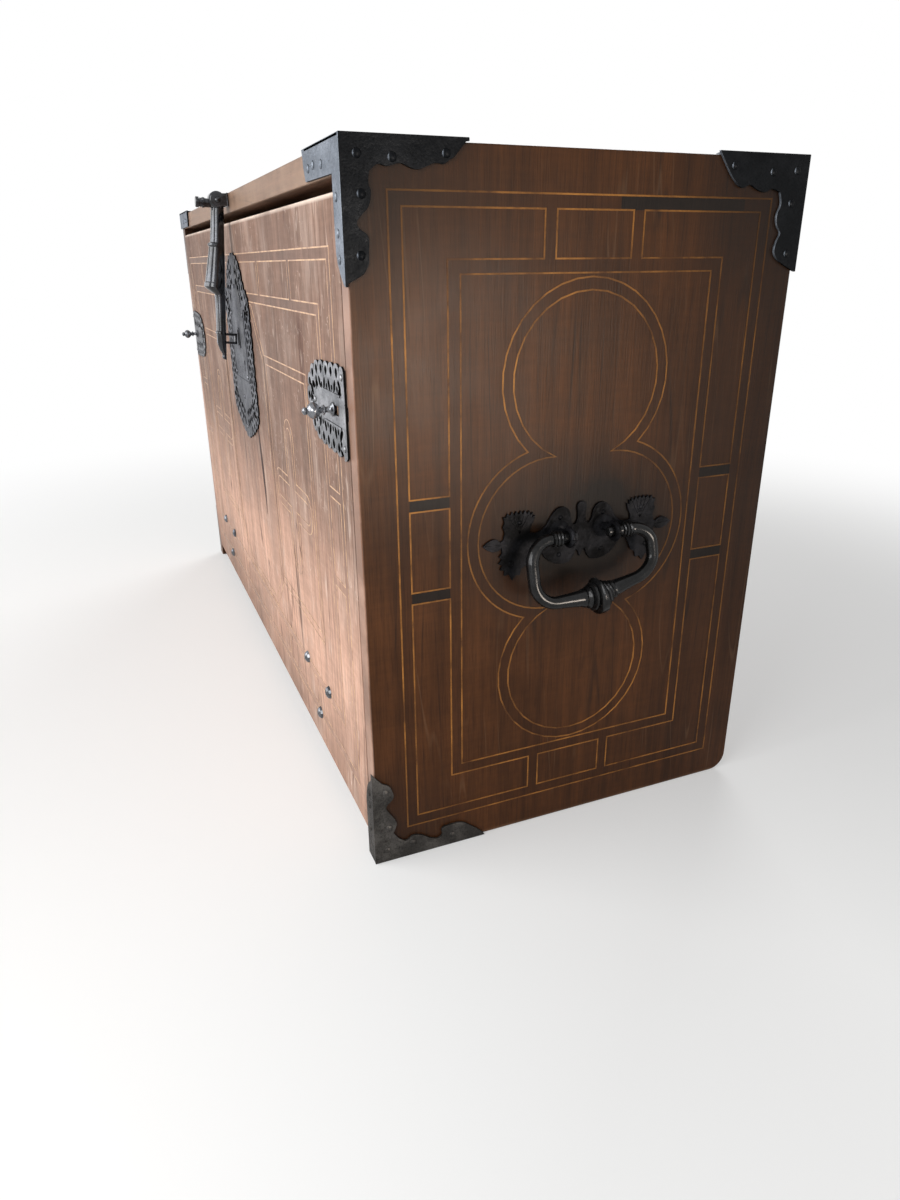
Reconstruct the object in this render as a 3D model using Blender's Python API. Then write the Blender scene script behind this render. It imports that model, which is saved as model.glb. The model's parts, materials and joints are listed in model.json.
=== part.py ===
"""Bargueno: a fall-front cabinet with a nest of drawers, corner irons, a hasp lock and end handles.

Metres, +Z up. The origin is at the centre of the underside and the front faces -Y.
"""

import math

import bmesh
import bpy

# Case
WIDTH = 0.984
DEPTH = 0.401
HEIGHT = 0.597
SIDE_T = 0.018
TOP_T = 0.021
BOTTOM_T = 0.020
BACK_T = 0.014
FRONT_T = 0.021
FRONT_TOP_GAP = 0.010
REAR_CORNER_R = 0.018

# Clearances
FIT = 0.0003
FRONT_SIDE_GAP = 0.0007
TURN_CLEAR = 0.0001
SLIDE_CLEAR = 0.0004
STAPLE_CLEAR = 0.0025
WELD_STEP = 0.0001

# Nest of drawers
NEST_SETBACK = 0.030
NEST_BASE_H = 0.025
UPRIGHT_T = 0.012
SHELF_T = 0.010
CENTER_W = 0.390
DRAWER_CLEAR = 0.001
DRAWER_BACK_GAP = 0.006
DRAWER_FRONT_T = 0.012
DRAWER_WALL = 0.008
DRAWER_FLOOR = 0.006
DRAWER_RIM = 0.010
SIDE_ROW_COUNT = 3
CENTER_ROW_COUNT = 2
OPEN_ROW_COUNT = 1
PULL_R = 0.008
PULL_L = 0.016
PULL_STEM_R = 0.003

# Corner irons
IRON_T = 0.0025
IRON_LEG = 0.095
IRON_W = 0.024
IRON_TIP_W = 0.012
IRON_NAIL_R = 0.0035
IRON_NAIL_H = 0.0018

# Hinges of the fall front
HINGE_INSET = 0.1733
HINGE_PIN_R = 0.0020
KNUCKLE_R = 0.0042
KNUCKLE_MID_L = 0.020
KNUCKLE_END_L = 0.012
KNUCKLE_NOTCH = 0.0023
LEAF_T = 0.002
LEAF_H = 0.104
LEAF_TOP_W = 0.126
LEAF_FOOT_W = 0.034
CASE_LEAF_L = 0.026
LEAF_NAIL_SPREAD = 0.046
LEAF_NAIL_HIGH = 0.087
LEAF_NAIL_LOW = 0.039
LEAF_NAIL_R = 0.007
LEAF_NAIL_H = 0.0045
LEAF_SHANK_R = 0.002

# Side bolts
PLATE_T = 0.002
BOLT_Z = 0.411
BOLT_PLATE_H = 0.076
BOLT_PLATE_L = 0.123
BOLT_PLATE_END_H = 0.071
BOLT_PLATE_END_L = 0.047
BOLT_H = 0.010
BOLT_D = 0.006
BOLT_L = 0.090
BOLT_THROW = 0.011
BOLT_END_CLEAR = 0.0015
BOLT_STEM_R = 0.0035
BOLT_STEM_INSET = 0.034
BOLT_KNOB_L = 0.026
BOLT_KNOB_R = 0.0066

# Lock and hasp
LOCK_HALF_W = 0.0865
LOCK_CREST_HALF_W = 0.055
LOCK_CREST_RISE = 0.099
LOCK_SHOULDER_RISE = 0.048
LOCK_WAIST_DROP = 0.096
LOCK_POINT_DROP = 0.126
LOCK_CASE_W = 0.100
LOCK_CASE_H = 0.070
LOCK_CASE_D = 0.0130
LOCK_BOLT_L = 0.030
LOCK_BOLT_H = 0.006
LOCK_BOLT_D = 0.0045
LOCK_BOLT_SKIN = 0.0007
LOCK_THROW = 0.009
KEYHOLE_R = 0.003
KEYHOLE_DROP = 0.028
HASP_AXIS_DROP = 0.0075
HASP_AXIS_OUT = 0.0125
HASP_L = 0.1765
HASP_LIFT = math.radians(5.0)
HASP_BACK_GAP = 0.0042
HASP_NECK_W = 0.0126
HASP_NECK_D = 0.0122
HASP_BELL_DROP = 0.0975
HASP_BELL_W = 0.0190
HASP_BELL_D = 0.0200
HASP_BELL_RIM = 0.0060
HASP_TONGUE_W = 0.0112
HASP_TONGUE_D = 0.0106
HASP_TIP_W = 0.0024
HASP_STUB_R = 0.0050
HASP_STUB_OUT = 0.0295
HASP_STUB_DROP = 0.0040
HASP_PIN_R = 0.0025
HASP_KNUCKLE_R = 0.0095
HASP_KNUCKLE_L = 0.016
HASP_LUG_T = 0.004
HASP_LUG_GAP = 0.0004
HASP_LUG_R = 0.0085
HASP_EYE_PLATE_T = 0.002
HASP_EYE_PLATE_H = 0.0145
STAPLE_DROP = 0.1545
STAPLE_W = 0.005
STAPLE_BAR = 0.003

# End handles
HANDLE_AXIS_Z = 0.301
HANDLE_AXIS_OUT = 0.020
HANDLE_BAR_R = 0.0045
HANDLE_LOOP_R = 0.0053
HANDLE_HALF_W = 0.060
HANDLE_DROP = 0.054
HANDLE_TILT = math.radians(16.0)
HANDLE_BEND_R = 0.0165
HANDLE_REAR_RISE = 0.27
HANDLE_ARM_TAIL = 0.005
HANDLE_KNOP_R = 0.0166
HANDLE_KNOP_L = 0.030
HANDLE_SWELL_R = 0.0074
HANDLE_COLLAR_R = 0.0072
HANDLE_COLLAR_GAP = 0.0034
HANDLE_COLLAR_L = 0.014
EYE_Y = 0.0226
EYE_R = 0.0092
EYE_T = 0.006
EYE_SHANK_R = 0.0038
EYE_SHANK_DEPTH = 0.012
BACKPLATE_T = 0.0025
BACKPLATE_HALF_W = 0.094
BACKPLATE_BELOW = 0.0385
BACKPLATE_ABOVE = 0.0265

# Facets of round pieces
ROUND = 24
SMALL_ROUND = 12

# Places that follow from the sizes
FACE_Y = -DEPTH / 2
INNER_X = WIDTH / 2 - SIDE_T
FRONT_EDGE_X = INNER_X - FRONT_SIDE_GAP
FRONT_TOP_Z = HEIGHT - TOP_T - FRONT_TOP_GAP
HINGE_X = FRONT_EDGE_X - HINGE_INSET
HINGE_Y = FACE_Y + FRONT_T
HINGE_Z = BOTTOM_T
NEST_Y = HINGE_Y + NEST_SETBACK
NEST_BACK_Y = DEPTH / 2 - BACK_T - FIT
NEST_FLOOR_Z = BOTTOM_T + FIT + NEST_BASE_H
NEST_TOP_Z = HEIGHT - TOP_T
HASP_AXIS_Y = FACE_Y - HASP_AXIS_OUT
HASP_AXIS_Z = HEIGHT - HASP_AXIS_DROP
STAPLE_Z = HASP_AXIS_Z - STAPLE_DROP
LOCK_TOP_Z = STAPLE_Z + LOCK_CREST_RISE
LOCK_SHOULDER_Z = STAPLE_Z + LOCK_SHOULDER_RISE
LOCK_WAIST_Z = STAPLE_Z - LOCK_WAIST_DROP
LOCK_POINT_Z = STAPLE_Z - LOCK_POINT_DROP
LEAF_TOP_Z = HINGE_Z + LEAF_H
LEAF_NAIL_HIGH_Z = HINGE_Z + LEAF_NAIL_HIGH
LEAF_NAIL_LOW_Z = HINGE_Z + LEAF_NAIL_LOW
HANDLE_ARM_END = EYE_Y - EYE_T / 2 - HANDLE_ARM_TAIL
HANDLE_COLLAR_Y = EYE_Y + EYE_T / 2 + HANDLE_COLLAR_GAP + HANDLE_COLLAR_L / 2
BACKPLATE_LOW_Z = HANDLE_AXIS_Z - BACKPLATE_BELOW
BACKPLATE_HIGH_Z = HANDLE_AXIS_Z + BACKPLATE_ABOVE
PLATE_BACK_Y = FACE_Y - FIT
PLATE_FACE_Y = PLATE_BACK_Y - PLATE_T
LOCK_BOLT_Y = FACE_Y + LOCK_BOLT_SKIN + LOCK_BOLT_D / 2
STAPLE_DEEP_Y = LOCK_BOLT_Y + LOCK_BOLT_D / 2 + SLIDE_CLEAR + STAPLE_BAR

WALNUT = ("walnut", (0.105, 0.048, 0.026), 0.45, 0.0)
FADED = ("faded_walnut", (0.36, 0.21, 0.15), 0.55, 0.0)
DRAWER_WOOD = ("drawer_walnut", (0.16, 0.075, 0.04), 0.5, 0.0)
IRON = ("wrought_iron", (0.035, 0.033, 0.032), 0.5, 0.9)
BRIGHT_IRON = ("worn_iron", (0.24, 0.24, 0.25), 0.42, 0.9)


def clear_scene():
    for obj in list(bpy.data.objects):
        bpy.data.objects.remove(obj, do_unlink=True)


def material_of(spec):
    name, colour, roughness, metallic = spec
    found = bpy.data.materials.get(name)
    if found:
        return found
    made = bpy.data.materials.new(name)
    made.use_nodes = True
    shader = made.node_tree.nodes["Principled BSDF"]
    shader.inputs["Base Color"].default_value = (*colour, 1.0)
    shader.inputs["Roughness"].default_value = roughness
    shader.inputs["Metallic"].default_value = metallic
    return made


def mesh_from(bm, name):
    bmesh.ops.recalc_face_normals(bm, faces=bm.faces)
    mesh = bpy.data.meshes.new(name)
    bm.to_mesh(mesh)
    bm.free()
    return mesh


def skin(rings):
    """A closed mesh through rings of points, with a face at each end."""
    bm = bmesh.new()
    loops = [[bm.verts.new(point) for point in ring] for ring in rings]
    for low, high in zip(loops, loops[1:]):
        for i, corner in enumerate(low):
            j = (i + 1) % len(low)
            bm.faces.new((corner, low[j], high[j], high[i]))
    bm.faces.new(loops[0])
    bm.faces.new(loops[-1])
    return mesh_from(bm, "skin")


def block(low, high):
    corners = [(low[0], low[1]), (high[0], low[1]), (high[0], high[1]), (low[0], high[1])]
    return skin([[(x, y, z) for x, y in corners] for z in (low[2], high[2])])


def slab(outline, axis, start, end):
    """An outline in the two other axes, taken in the order XYZ, drawn out along one axis."""

    def at(point, depth):
        place = list(point)
        place.insert("XYZ".index(axis), depth)
        return tuple(place)

    return skin([[at(point, depth) for point in outline] for depth in (start, end)])


def turned(profile, origin, axis, sign=1.0, facets=ROUND):
    """A turned shape from (distance, radius) pairs along an axis."""
    along = "XYZ".index(axis)
    first, second = [i for i in range(3) if i != along]
    rings = []
    for distance, radius in profile:
        ring = []
        for i in range(facets):
            angle = 2 * math.pi * (i + 0.5) / facets
            point = list(origin)
            point[along] += sign * distance
            point[first] += radius * math.cos(angle)
            point[second] += radius * math.sin(angle)
            ring.append(tuple(point))
        rings.append(ring)
    return skin(rings)


def rod(radius, origin, axis, start, end, facets=ROUND):
    return turned([(start, radius), (end, radius)], origin, axis, 1.0, facets)


def dome_profile(radius, height, sink):
    """A nail's domed head on a short root that sinks into what it holds."""
    steps = [(-sink, radius * 0.9), (0.0, radius)]
    steps += [(height * math.sin(a), radius * math.cos(a)) for a in (0.5, 1.0)]
    return steps + [(height, radius * 0.18)]


def swept(points, normals, radii, facets=SMALL_ROUND):
    """A round bar along points, where each ring spans its normal and the bar's plane normal."""
    rings = []
    for point, (side, up), radius in zip(points, normals, radii):
        ring = []
        for i in range(facets):
            angle = 2 * math.pi * (i + 0.5) / facets
            c, s = radius * math.cos(angle), radius * math.sin(angle)
            ring.append(tuple(point[k] + c * side[k] + s * up[k] for k in range(3)))
        rings.append(ring)
    return skin(rings)


def make(name, mesh, spec, pivot=None, smooth=False):
    mesh.name = name
    obj = bpy.data.objects.new(name, mesh)
    bpy.context.scene.collection.objects.link(obj)
    mesh.materials.append(material_of(spec))
    if smooth:
        mesh.shade_smooth()
        mesh.set_sharp_from_angle(angle=math.radians(35))
    if pivot:
        ride(obj, pivot)
    return obj


def ride(obj, pivot):
    obj.parent = pivot
    obj.matrix_parent_inverse = pivot.matrix_world.inverted()


def pivot_at(name, place):
    empty = bpy.data.objects.new(name, None)
    empty.location = place
    bpy.context.scene.collection.objects.link(empty)
    bpy.context.view_layer.update()
    return empty


def with_mesh(obj, mesh, operation):
    """Cuts a mesh from an object, or joins it to the object, with a hidden helper."""
    helper = bpy.data.objects.new(f"{obj.name}_{operation.lower()}", mesh)
    bpy.context.scene.collection.objects.link(helper)
    helper.hide_render = True
    helper.display_type = "WIRE"
    if obj.parent:
        ride(helper, obj.parent)
    boolean = obj.modifiers.new(operation.title(), "BOOLEAN")
    boolean.operation = operation
    boolean.solver = "EXACT"
    boolean.object = helper


def cut(obj, *meshes):
    for mesh in meshes:
        with_mesh(obj, mesh, "DIFFERENCE")


def join(obj, *meshes):
    for mesh in meshes:
        with_mesh(obj, mesh, "UNION")


def arc(center, radius, start, end, steps):
    angles = [start + (end - start) * i / steps for i in range(steps + 1)]
    return [(center[0] + radius * math.cos(a), center[1] + radius * math.sin(a)) for a in angles]


def rear_round():
    """The rounded lower back corner, from the underside to the back."""
    return arc((DEPTH / 2 - REAR_CORNER_R, REAR_CORNER_R), REAR_CORNER_R, -math.pi / 2, 0.0, 5)


def build_sides():
    outline = [(FACE_Y, 0.0)] + rear_round() + [(DEPTH / 2, HEIGHT), (FACE_Y, HEIGHT)]
    mortise_h = BOLT_H / 2 + 2 * SLIDE_CLEAR
    for label, sign in (("right", 1), ("left", -1)):
        side = make(f"side_{label}", slab(outline, "X", sign * INNER_X, sign * WIDTH / 2), WALNUT)
        mouth = INNER_X - FIT
        deep = FRONT_EDGE_X + BOLT_THROW + BOLT_END_CLEAR
        low_x, high_x = sorted((sign * mouth, sign * deep))
        low = (low_x, FACE_Y + SLIDE_CLEAR / 2, BOLT_Z - mortise_h)
        high = (high_x, FACE_Y + BOLT_D + 3 * SLIDE_CLEAR, BOLT_Z + mortise_h)
        cut(side, block(low, high))
        for y in (-EYE_Y, EYE_Y):
            start = WIDTH / 2 - EYE_SHANK_DEPTH - FIT
            ends = sorted((sign * start, sign * (WIDTH / 2 + FIT)))
            cut(side, rod(EYE_SHANK_R + FIT, (0.0, y, HANDLE_AXIS_Z), "X", *ends, SMALL_ROUND))


def build_boards():
    span = INNER_X - FIT
    make("top_board", block((-span, FACE_Y, HEIGHT - TOP_T), (span, DEPTH / 2, HEIGHT)), WALNUT)
    back_low = (-span, DEPTH / 2 - BACK_T, BOTTOM_T + FIT)
    make("back_board", block(back_low, (span, DEPTH / 2, HEIGHT - TOP_T - FIT)), WALNUT)
    front_y = HINGE_Y + FIT
    floor = rear_round() + [(DEPTH / 2, BOTTOM_T), (front_y, BOTTOM_T), (front_y, 0.0)]
    bottom = make("bottom_board", slab(floor, "X", -span, span), WALNUT)
    half = KNUCKLE_MID_L / 2 + KNUCKLE_END_L + FIT
    reach = KNUCKLE_R + KNUCKLE_NOTCH
    for x in (-HINGE_X, HINGE_X):
        edge = half + 2 * FIT
        low = (x - edge, HINGE_Y - FIT, HINGE_Z - reach)
        cut(bottom, block(low, (x + edge, HINGE_Y + reach, HINGE_Z + FIT)))
        recess = LEAF_T + 2 * FIT
        low = (x - edge, HINGE_Y - FIT, HINGE_Z - recess)
        cut(bottom, block(low, (x + edge, HINGE_Y + CASE_LEAF_L + FIT, HINGE_Z + FIT)))


def columns():
    """Each column's name, clear span in X, rows and rows with a drawer, from the lowest up."""
    half = CENTER_W / 2
    wall = half + UPRIGHT_T
    center_drawers = CENTER_ROW_COUNT - OPEN_ROW_COUNT
    return [
        ("left", -INNER_X, -wall, SIDE_ROW_COUNT, SIDE_ROW_COUNT),
        ("center", -half, half, CENTER_ROW_COUNT, center_drawers),
        ("right", wall, INNER_X, SIDE_ROW_COUNT, SIDE_ROW_COUNT),
    ]


def row_height(rows):
    return (NEST_TOP_Z - NEST_FLOOR_Z - (rows - 1) * SHELF_T) / rows


def build_nest():
    span = INNER_X - FIT
    low = (-span, NEST_Y, BOTTOM_T + FIT)
    make("nest_base", block(low, (span, NEST_BACK_Y, NEST_FLOOR_Z)), DRAWER_WOOD)
    for label, sign in (("right", 1), ("left", -1)):
        near, far = sorted((sign * (CENTER_W / 2), sign * (CENTER_W / 2 + UPRIGHT_T)))
        low = (near, NEST_Y, NEST_FLOOR_Z + FIT)
        make(f"nest_upright_{label}", block(low, (far, NEST_BACK_Y, NEST_TOP_Z - FIT)), DRAWER_WOOD)
    for column, left, right, rows, _drawers in columns():
        for row in range(1, rows):
            z = NEST_FLOOR_Z + row * row_height(rows) + (row - 1) * SHELF_T
            low = (left + FIT, NEST_Y, z)
            shelf = block(low, (right - FIT, NEST_BACK_Y, z + SHELF_T))
            make(f"nest_shelf_{column}_{row}", shelf, DRAWER_WOOD)


def build_drawers():
    back = NEST_BACK_Y - DRAWER_BACK_GAP
    for column, left, right, rows, drawers in columns():
        tall = row_height(rows)
        for row in range(drawers):
            name = f"{column}_{row + 1}"
            z = NEST_FLOOR_Z + row * (tall + SHELF_T) + FIT
            low = (left + DRAWER_CLEAR, NEST_Y, z)
            high = (right - DRAWER_CLEAR, back, z + tall - FIT - 2 * DRAWER_CLEAR)
            middle = ((left + right) / 2, NEST_Y, (low[2] + high[2]) / 2)
            pivot = pivot_at(f"drawer_{name}_slide", middle)
            drawer = make(f"drawer_{name}", block(low, high), DRAWER_WOOD, pivot)
            inside_low = (low[0] + DRAWER_WALL, NEST_Y + DRAWER_FRONT_T, z + DRAWER_FLOOR)
            inside_high = (high[0] - DRAWER_WALL, back - DRAWER_WALL, high[2] + FIT)
            cut(drawer, block(inside_low, inside_high))
            rim_low = (low[0] - FIT, NEST_Y + DRAWER_FRONT_T, high[2] - DRAWER_RIM)
            cut(drawer, block(rim_low, (high[0] + FIT, back + FIT, high[2] + FIT)))
            cut(drawer, rod(PULL_STEM_R + FIT, middle, "Y", -FIT, DRAWER_FRONT_T + FIT, SMALL_ROUND))
            profile = [(-DRAWER_FRONT_T, PULL_STEM_R), (FIT, PULL_STEM_R), (FIT, PULL_R * 0.8)]
            profile += [(PULL_L * 0.25, PULL_R * 0.5), (PULL_L * 0.55, PULL_R)]
            profile += [(PULL_L * 0.85, PULL_R * 0.8), (PULL_L, PULL_R * 0.3)]
            pull = turned(profile, middle, "Y", -1.0, SMALL_ROUND)
            make(f"drawer_pull_{name}", pull, IRON, pivot, smooth=True)


def ell(leg, width, strip, square=False):
    """An L outline from its outer corner, with one leg along each axis and tapered tips."""
    tip = IRON_TIP_W / 2
    corner = [(strip, width)] if square else [(strip + tip, width), (strip, width + tip)]
    return [
        (0.0, 0.0),
        (leg, 0.0),
        (leg - tip, IRON_TIP_W),
        (leg - width, width),
        *corner,
        (strip, leg - 2 * tip),
        (strip * 0.6, leg),
        (0.0, leg),
    ]


def build_iron(name, sign, front, high):
    """A corner iron: an L on the side, one on the front or back edge and, at the top, one on the top."""
    outer_x = WIDTH / 2 + FIT + IRON_T
    outer_y = DEPTH / 2 + FIT + IRON_T
    outer_z = HEIGHT + FIT + IRON_T if high else 0.0
    y_sign = -1 if front else 1
    z_sign = -1 if high else 1

    def y_at(v):
        return y_sign * (outer_y - v)

    def z_at(v):
        return outer_z + z_sign * v

    side = [(y_at(u), z_at(v)) for u, v in ell(IRON_LEG, IRON_W, IRON_W)]
    depths = sorted((sign * (WIDTH / 2 + FIT), sign * outer_x))
    iron = make(name, slab(side, "X", *depths), IRON)
    strip = SIDE_T + FIT + IRON_T
    face = ell(IRON_LEG, TOP_T + FIT + IRON_T, strip, square=True)
    if not high:
        tip_z = IRON_LEG - IRON_TIP_W
        face = [(0.0, 0.0), (strip, 0.0), (strip, tip_z), (strip / 2, IRON_LEG), (0.0, IRON_LEG)]
    face = [(sign * (outer_x - max(u, IRON_T * 0.4)), z_at(max(v, 2 * WELD_STEP))) for u, v in face]
    depths = sorted((y_sign * (DEPTH / 2 + FIT), y_sign * (outer_y - WELD_STEP)))
    join(iron, slab(face, "Y", *depths))
    if high:
        top = ell(IRON_LEG, IRON_W, IRON_W)
        top = [(sign * (outer_x - max(u, IRON_T * 0.6)), y_at(max(v, IRON_T * 0.4))) for u, v in top]
        join(iron, slab(top, "Z", HEIGHT + FIT, outer_z - WELD_STEP))
    dome = dome_profile(IRON_NAIL_R, IRON_NAIL_H, IRON_T / 2)
    for far in (IRON_LEG * 0.25, IRON_LEG * 0.55, IRON_LEG * 0.82):
        for u, v in ((far, IRON_TIP_W * 0.6), (IRON_TIP_W * 0.6, far)):
            join(iron, turned(dome, (sign * outer_x, y_at(u), z_at(v)), "X", sign, 8))


def build_irons():
    for label, sign in (("right", 1), ("left", -1)):
        build_iron(f"iron_top_front_{label}", sign, True, True)
        build_iron(f"iron_top_back_{label}", sign, False, True)
        build_iron(f"iron_bottom_front_{label}", sign, True, False)


def leaf_nails():
    """Each nail's place on a hinge leaf, as (x from the hinge, z)."""
    high = [(-LEAF_NAIL_SPREAD, LEAF_NAIL_HIGH_Z), (LEAF_NAIL_SPREAD, LEAF_NAIL_HIGH_Z)]
    return high + [(0.0, LEAF_NAIL_LOW_Z)]


def leaf_outline(x, grow):
    """The front leaf's tapered plate, from its foot at the knuckle to its wide top."""
    top = LEAF_TOP_W / 2 + grow
    foot = LEAF_FOOT_W / 2 + grow
    low = HINGE_Z + KNUCKLE_R
    high = LEAF_TOP_Z + grow
    shoulder = LEAF_NAIL_HIGH_Z - LEAF_NAIL_R
    half = [(foot, low), (foot, LEAF_NAIL_LOW_Z), (top, shoulder), (top, high)]
    return [(x + u, v) for u, v in half] + [(x - u, v) for u, v in reversed(half)]


def build_front(pivot):
    low = (-FRONT_EDGE_X, FACE_Y, BOTTOM_T + FIT)
    front = make("front_board", block(low, (FRONT_EDGE_X, HINGE_Y - FIT, FRONT_TOP_Z)), FADED, pivot)
    channel = BOLT_H / 2 + SLIDE_CLEAR
    for sign in (1, -1):
        inner = sign * (FRONT_EDGE_X - FIT - BOLT_L - 2 * SLIDE_CLEAR)
        low_x, high_x = sorted((inner, sign * (FRONT_EDGE_X + FIT)))
        low = (low_x, FACE_Y - FIT, BOLT_Z - channel)
        cut(front, block(low, (high_x, FACE_Y + BOLT_D + 2 * SLIDE_CLEAR, BOLT_Z + channel)))
    half_w = LOCK_CASE_W / 2 + FIT
    half_h = LOCK_CASE_H / 2 + FIT
    low = (-half_w, FACE_Y - FIT, STAPLE_Z - half_h)
    cut(front, block(low, (half_w, FACE_Y + LOCK_CASE_D + 2 * FIT, STAPLE_Z + half_h)))
    reach = KNUCKLE_R + KNUCKLE_NOTCH
    half = KNUCKLE_MID_L / 2 + KNUCKLE_END_L + 3 * FIT
    inner_y = HINGE_Y - FIT
    for x in (-HINGE_X, HINGE_X):
        low = (x - half, HINGE_Y - reach, BOTTOM_T)
        cut(front, block(low, (x + half, HINGE_Y, HINGE_Z + reach)))
        leaf_bed = slab(leaf_outline(x, FIT), "Y", inner_y - LEAF_T - FIT, HINGE_Y)
        cut(front, leaf_bed)
        for dx, z in leaf_nails():
            hole = rod(LEAF_SHANK_R + FIT, (x + dx, FACE_Y, z), "Y", -FIT, FRONT_T, SMALL_ROUND)
            cut(front, hole)


def build_hinges(pivot):
    inner_y = HINGE_Y - FIT
    bore = HINGE_PIN_R + TURN_CLEAR
    mid = KNUCKLE_MID_L / 2
    end = mid + FIT + KNUCKLE_END_L
    for label, x in (("right", HINGE_X), ("left", -HINGE_X)):
        axis = (x, HINGE_Y, HINGE_Z)
        plate = slab(leaf_outline(x, 0.0), "Y", inner_y - LEAF_T, inner_y)
        leaf = make(f"hinge_front_leaf_{label}", plate, IRON, pivot)
        tongue_low = (x - mid, inner_y - LEAF_T, HINGE_Z + FIT)
        join(leaf, block(tongue_low, (x + mid, inner_y, HINGE_Z + 2 * KNUCKLE_R)))
        join(leaf, rod(KNUCKLE_R, axis, "X", -mid, mid))
        for dx, z in leaf_nails():
            reach = FACE_Y - inner_y
            profile = [(reach + LEAF_T / 2, LEAF_SHANK_R), (FIT, LEAF_SHANK_R)]
            profile += [(FIT + d, r) for d, r in dome_profile(LEAF_NAIL_R, LEAF_NAIL_H, 0.0)[1:]]
            join(leaf, turned(profile, (x + dx, FACE_Y, z), "Y", -1.0, SMALL_ROUND))
        cut(leaf, rod(bore, axis, "X", -end, end))
        low = (x - end, HINGE_Y, HINGE_Z - FIT - LEAF_T)
        case_leaf = block(low, (x + end, HINGE_Y + CASE_LEAF_L, HINGE_Z - FIT))
        case = make(f"hinge_case_leaf_{label}", case_leaf, IRON)
        reach = KNUCKLE_R + KNUCKLE_NOTCH / 2
        gap_low = (x - mid - FIT, HINGE_Y - FIT, HINGE_Z - reach)
        cut(case, block(gap_low, (x + mid + FIT, HINGE_Y + reach, HINGE_Z)))
        for start, stop in ((-end, -mid - FIT), (mid + FIT, end)):
            join(case, rod(KNUCKLE_R, axis, "X", start, stop))
        cut(case, rod(bore, axis, "X", -end - FIT, end + FIT))
        make(f"hinge_pin_{label}", rod(HINGE_PIN_R, axis, "X", -end, end), IRON, None, True)


def bolt_plate_outline(sign):
    """Straight at the front's edge, narrowing a little inwards to a full round end."""
    half = BOLT_PLATE_H / 2
    end = BOLT_PLATE_END_H / 2
    outer = FRONT_EDGE_X - FIT
    inner = outer - BOLT_PLATE_L + BOLT_PLATE_END_L
    points = [(outer, half)]
    points += [(inner + BOLT_PLATE_END_L * u, end * v)
               for u, v in arc((0.0, 0.0), 1.0, math.pi / 2, 3 * math.pi / 2, 10)]
    points += [(outer, -half)]
    return [(sign * u, BOLT_Z + v) for u, v in points]


def knob_profile():
    """The bolt's stem and baluster knob, from the bar outwards."""
    start = PLATE_T + 2 * FIT
    rise = BOLT_KNOB_L
    shape = [(0.0, 0.85), (0.10, 0.85), (0.16, 0.42), (0.30, 0.38), (0.36, 0.62), (0.42, 0.40)]
    shape += [(0.55, 0.55), (0.72, 1.0), (0.86, 0.85), (0.93, 0.45), (1.0, 0.28)]
    steps = [(start + share * rise, BOLT_KNOB_R * wide) for share, wide in shape]
    return [(-BOLT_D / 2, BOLT_STEM_R), (start, BOLT_STEM_R)] + steps


def build_bolts(front_pivot):
    for label, sign in (("right", 1), ("left", -1)):
        outline = bolt_plate_outline(sign)
        plate_mesh = slab(outline, "Y", PLATE_FACE_Y, PLATE_BACK_Y)
        plate = make(f"bolt_plate_{label}", plate_mesh, BRIGHT_IRON, front_pivot)
        stem_x = FRONT_EDGE_X - FIT - BOLT_STEM_INSET
        slot_half = BOLT_STEM_R + SLIDE_CLEAR
        low_x, high_x = sorted((sign * (stem_x - slot_half), sign * (stem_x + BOLT_THROW + slot_half)))
        low = (low_x, PLATE_FACE_Y - FIT, BOLT_Z - slot_half)
        cut(plate, block(low, (high_x, FACE_Y, BOLT_Z + slot_half)))
        pivot = pivot_at(f"side_bolt_{label}_slide", (sign * stem_x, FACE_Y, BOLT_Z))
        ride(pivot, front_pivot)
        ends = sorted((sign * (FRONT_EDGE_X - FIT - BOLT_L), sign * (FRONT_EDGE_X - FIT)))
        low = (ends[0], FACE_Y + SLIDE_CLEAR, BOLT_Z - BOLT_H / 2)
        bar = block(low, (ends[1], FACE_Y + SLIDE_CLEAR + BOLT_D, BOLT_Z + BOLT_H / 2))
        bolt = make(f"side_bolt_{label}", bar, BRIGHT_IRON, pivot)
        knob = turned(knob_profile(), (sign * stem_x, FACE_Y, BOLT_Z), "Y", -1.0, SMALL_ROUND)
        join(bolt, knob)


def lock_outline():
    """A shield with a straight body, a point below and a narrower arched crest above."""
    body = LOCK_HALF_W
    crest = LOCK_CREST_HALF_W
    crest_low = LOCK_SHOULDER_Z + (LOCK_TOP_Z - LOCK_SHOULDER_Z) * 0.2
    rise = LOCK_TOP_Z - crest_low
    half = [(0.0, LOCK_POINT_Z), (body * 0.45, LOCK_POINT_Z + (LOCK_WAIST_Z - LOCK_POINT_Z) * 0.35)]
    half += [(body, LOCK_WAIST_Z), (body, LOCK_SHOULDER_Z), (crest, crest_low)]
    arch = arc((0.0, 0.0), 1.0, math.pi / 12, math.pi / 2, 5)
    half += [(crest * u, crest_low + rise * v) for u, v in arch]
    return half + [(-u, v) for u, v in reversed(half[1:-1])]


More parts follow.
